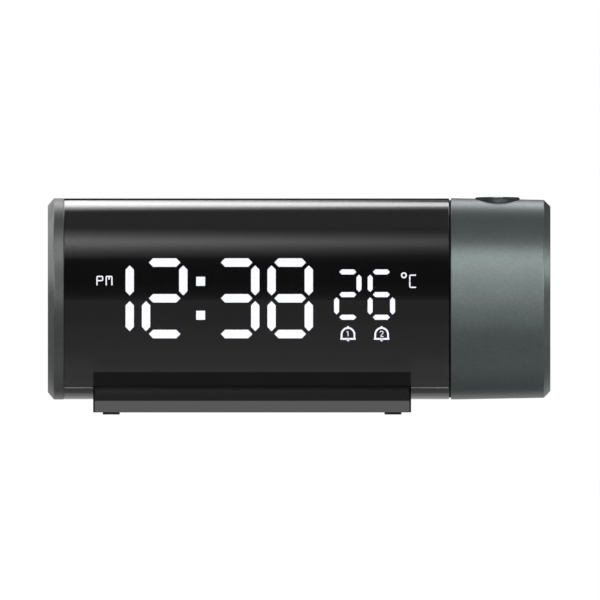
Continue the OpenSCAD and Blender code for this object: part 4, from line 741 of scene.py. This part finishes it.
# The screw's head stands on z = 0 with its shank below, and each point given gets one, turned by chance
screw_tree = bpy.data.node_groups.new("cross_screw", "GeometryNodeTree")
sizes = [("Geometry", "Geometry"), ("Head radius", "Float"), ("Head height", "Float"), ("Dome", "Float"),
         ("Shank radius", "Float"), ("Shank length", "Float"), ("Axis", "Vector"), ("Steel", "Material")]
for label, kind in sizes:
    screw_tree.interface.new_socket(label, in_out="INPUT", socket_type="NodeSocket" + kind)
screw_tree.interface.new_socket("Geometry", in_out="OUTPUT", socket_type="NodeSocketGeometry")
given = add(screw_tree, "NodeGroupInput").outputs
rim = add(screw_tree, "ShaderNodeMath", {0: given["Head height"], 1: given["Dome"]}, operation="SUBTRACT")
head = add(screw_tree, "GeometryNodeMeshCylinder", {
    "Vertices": 32, "Fill Segments": 5, "Radius": given["Head radius"], "Depth": rim.outputs[0]})
spot = add(screw_tree, "GeometryNodeInputPosition").outputs[0]
flat = add(screw_tree, "ShaderNodeVectorMath", {0: spot, 1: (1, 1, 0)}, operation="MULTIPLY")
reach = add(screw_tree, "ShaderNodeVectorMath", {0: flat.outputs[0]}, operation="LENGTH")
share = add(screw_tree, "ShaderNodeMath", {0: reach.outputs["Value"], 1: given["Head radius"]},
            operation="DIVIDE")
square = add(screw_tree, "ShaderNodeMath", {0: share.outputs[0], 1: 2.0}, operation="POWER")
fall = add(screw_tree, "ShaderNodeMath", {0: 1.0, 1: square.outputs[0]}, operation="SUBTRACT")
rise = add(screw_tree, "ShaderNodeMath", {0: fall.outputs[0], 1: given["Dome"]}, operation="MULTIPLY")
lift = add(screw_tree, "ShaderNodeCombineXYZ", {"Z": rise.outputs[0]})
dome = add(screw_tree, "GeometryNodeSetPosition", {
    "Geometry": head.outputs["Mesh"], "Selection": head.outputs["Top"], "Offset": lift.outputs[0]})
half = add(screw_tree, "ShaderNodeMath", {0: rim.outputs[0], 1: 0.5}, operation="MULTIPLY")
up = add(screw_tree, "ShaderNodeCombineXYZ", {"Z": half.outputs[0]})
raised = add(screw_tree, "GeometryNodeTransform", {"Geometry": dome.outputs[0], "Translation": up.outputs[0]})
deep = add(screw_tree, "ShaderNodeCombineXYZ", {"Z": given["Head height"]})
arm_reach, arm_width = 1.15, 0.24  # of the cross recess, as shares of the head's radius
radius = given["Head radius"]
cut = raised
for long_side, short_side in (("X", "Y"), ("Y", "X")):
    arm_long = add(screw_tree, "ShaderNodeMath", {0: radius, 1: arm_reach}, operation="MULTIPLY")
    arm_wide = add(screw_tree, "ShaderNodeMath", {0: radius, 1: arm_width}, operation="MULTIPLY")
    arm = add(screw_tree, "ShaderNodeCombineXYZ", {
        long_side: arm_long.outputs[0], short_side: arm_wide.outputs[0], "Z": given["Head height"]})
    bar = add(screw_tree, "GeometryNodeMeshCube", {"Size": arm.outputs[0]})
    cutter = add(screw_tree, "GeometryNodeTransform", {
        "Geometry": bar.outputs["Mesh"], "Translation": deep.outputs[0]})
    cut = add(screw_tree, "GeometryNodeMeshBoolean", {"Mesh 1": cut.outputs[0], "Mesh 2": cutter.outputs[0]},
              operation="DIFFERENCE", solver="EXACT")
shank = add(screw_tree, "GeometryNodeMeshCylinder", {
    "Vertices": 20, "Radius": given["Shank radius"], "Depth": given["Shank length"]})
drop = add(screw_tree, "ShaderNodeMath", {0: given["Shank length"], 1: -0.5}, operation="MULTIPLY")
down = add(screw_tree, "ShaderNodeCombineXYZ", {"Z": drop.outputs[0]})
lowered = add(screw_tree, "GeometryNodeTransform", {
    "Geometry": shank.outputs["Mesh"], "Translation": down.outputs[0]})
whole = add(screw_tree, "GeometryNodeJoinGeometry")
for part in (cut, lowered):
    screw_tree.links.new(part.outputs[0], whole.inputs[0])
aimed = add(screw_tree, "FunctionNodeAlignRotationToVector", {"Vector": given["Axis"]}, axis="Z")
angle = add(screw_tree, "FunctionNodeRandomValue", {"Seed": 7}, data_type="FLOAT")
angle.inputs[3].default_value = math.pi
own_turn = add(screw_tree, "FunctionNodeAxisAngleToRotation", {"Angle": angle.outputs[1]})
turned = add(screw_tree, "FunctionNodeRotateRotation", {
    "Rotation": aimed.outputs[0], "Rotate By": own_turn.outputs[0]}, rotation_space="LOCAL")
spread = add(screw_tree, "GeometryNodeInstanceOnPoints", {
    "Points": given["Geometry"], "Instance": whole.outputs[0], "Rotation": turned.outputs[0]})
real = add(screw_tree, "GeometryNodeRealizeInstances", {"Geometry": spread.outputs[0]})
steel = add(screw_tree, "GeometryNodeSetMaterial", {"Geometry": real.outputs[0], "Material": given["Steel"]})
add(screw_tree, "NodeGroupOutput", {0: steel.outputs[0]})

# Head radius, head height, dome and shank radius, in metres
small, large = (0.0019, 0.0012, 0.0003, 0.00095), (0.0025, 0.0015, 0.0004, 0.0014)
flat_head = (0.0019, 0.0008, 0.0001, 0.00095)
screws = [("cap_screws", "+X", small, zinc_steel), ("case_screws", "+Y", large, black_steel),
          ("display_screws", "+Y", small, zinc_steel), ("board_screws", "-Y", small, zinc_steel),
          ("plate_screws", "-Z", flat_head, zinc_steel), ("stand_screws", "-Z", large, zinc_steel),
          ("head_screws", "-X", small, zinc_steel), ("optics_screws", "-X", small, zinc_steel),
          ("retainer_screws", "-X", small, zinc_steel)]
for node, aim, (head_radius, head_height, dome_rise, shank_radius), metal in screws:
    along, sign = "XYZ".index(aim[1]), 1 if aim[0] == "+" else -1
    seats, length = [], 0
    for low, high in solids(node):
        seat = (low + high) / 2
        end = high if sign > 0 else low
        seat[along] = end[along] - sign * head_height
        seats.append(seat)
        length = high[along] - low[along] - head_height
    data = bpy.data.meshes.new(node)
    data.from_pydata(seats, [], [])
    piece = place(node + "_cross", data)
    maker = piece.modifiers.new("screws", "NODES")
    maker.node_group = screw_tree
    axis = [sign if i == along else 0 for i in range(3)]
    values = (head_radius, head_height, dome_rise, shank_radius, length, axis, metal)
    sockets = [s for s in screw_tree.interface.items_tree if s.in_out == "INPUT"][1:]
    for socket, value in zip(sockets, values):
        maker[socket.identifier] = value
    piece = plain(piece)
    piece.data.shade_smooth()
    piece.data.set_sharp_from_angle(angle=math.radians(30))
    stand_for(piece, node, metal)
    if node in ("plate_screws", "stand_screws"):
        piece.visible_glossy = False
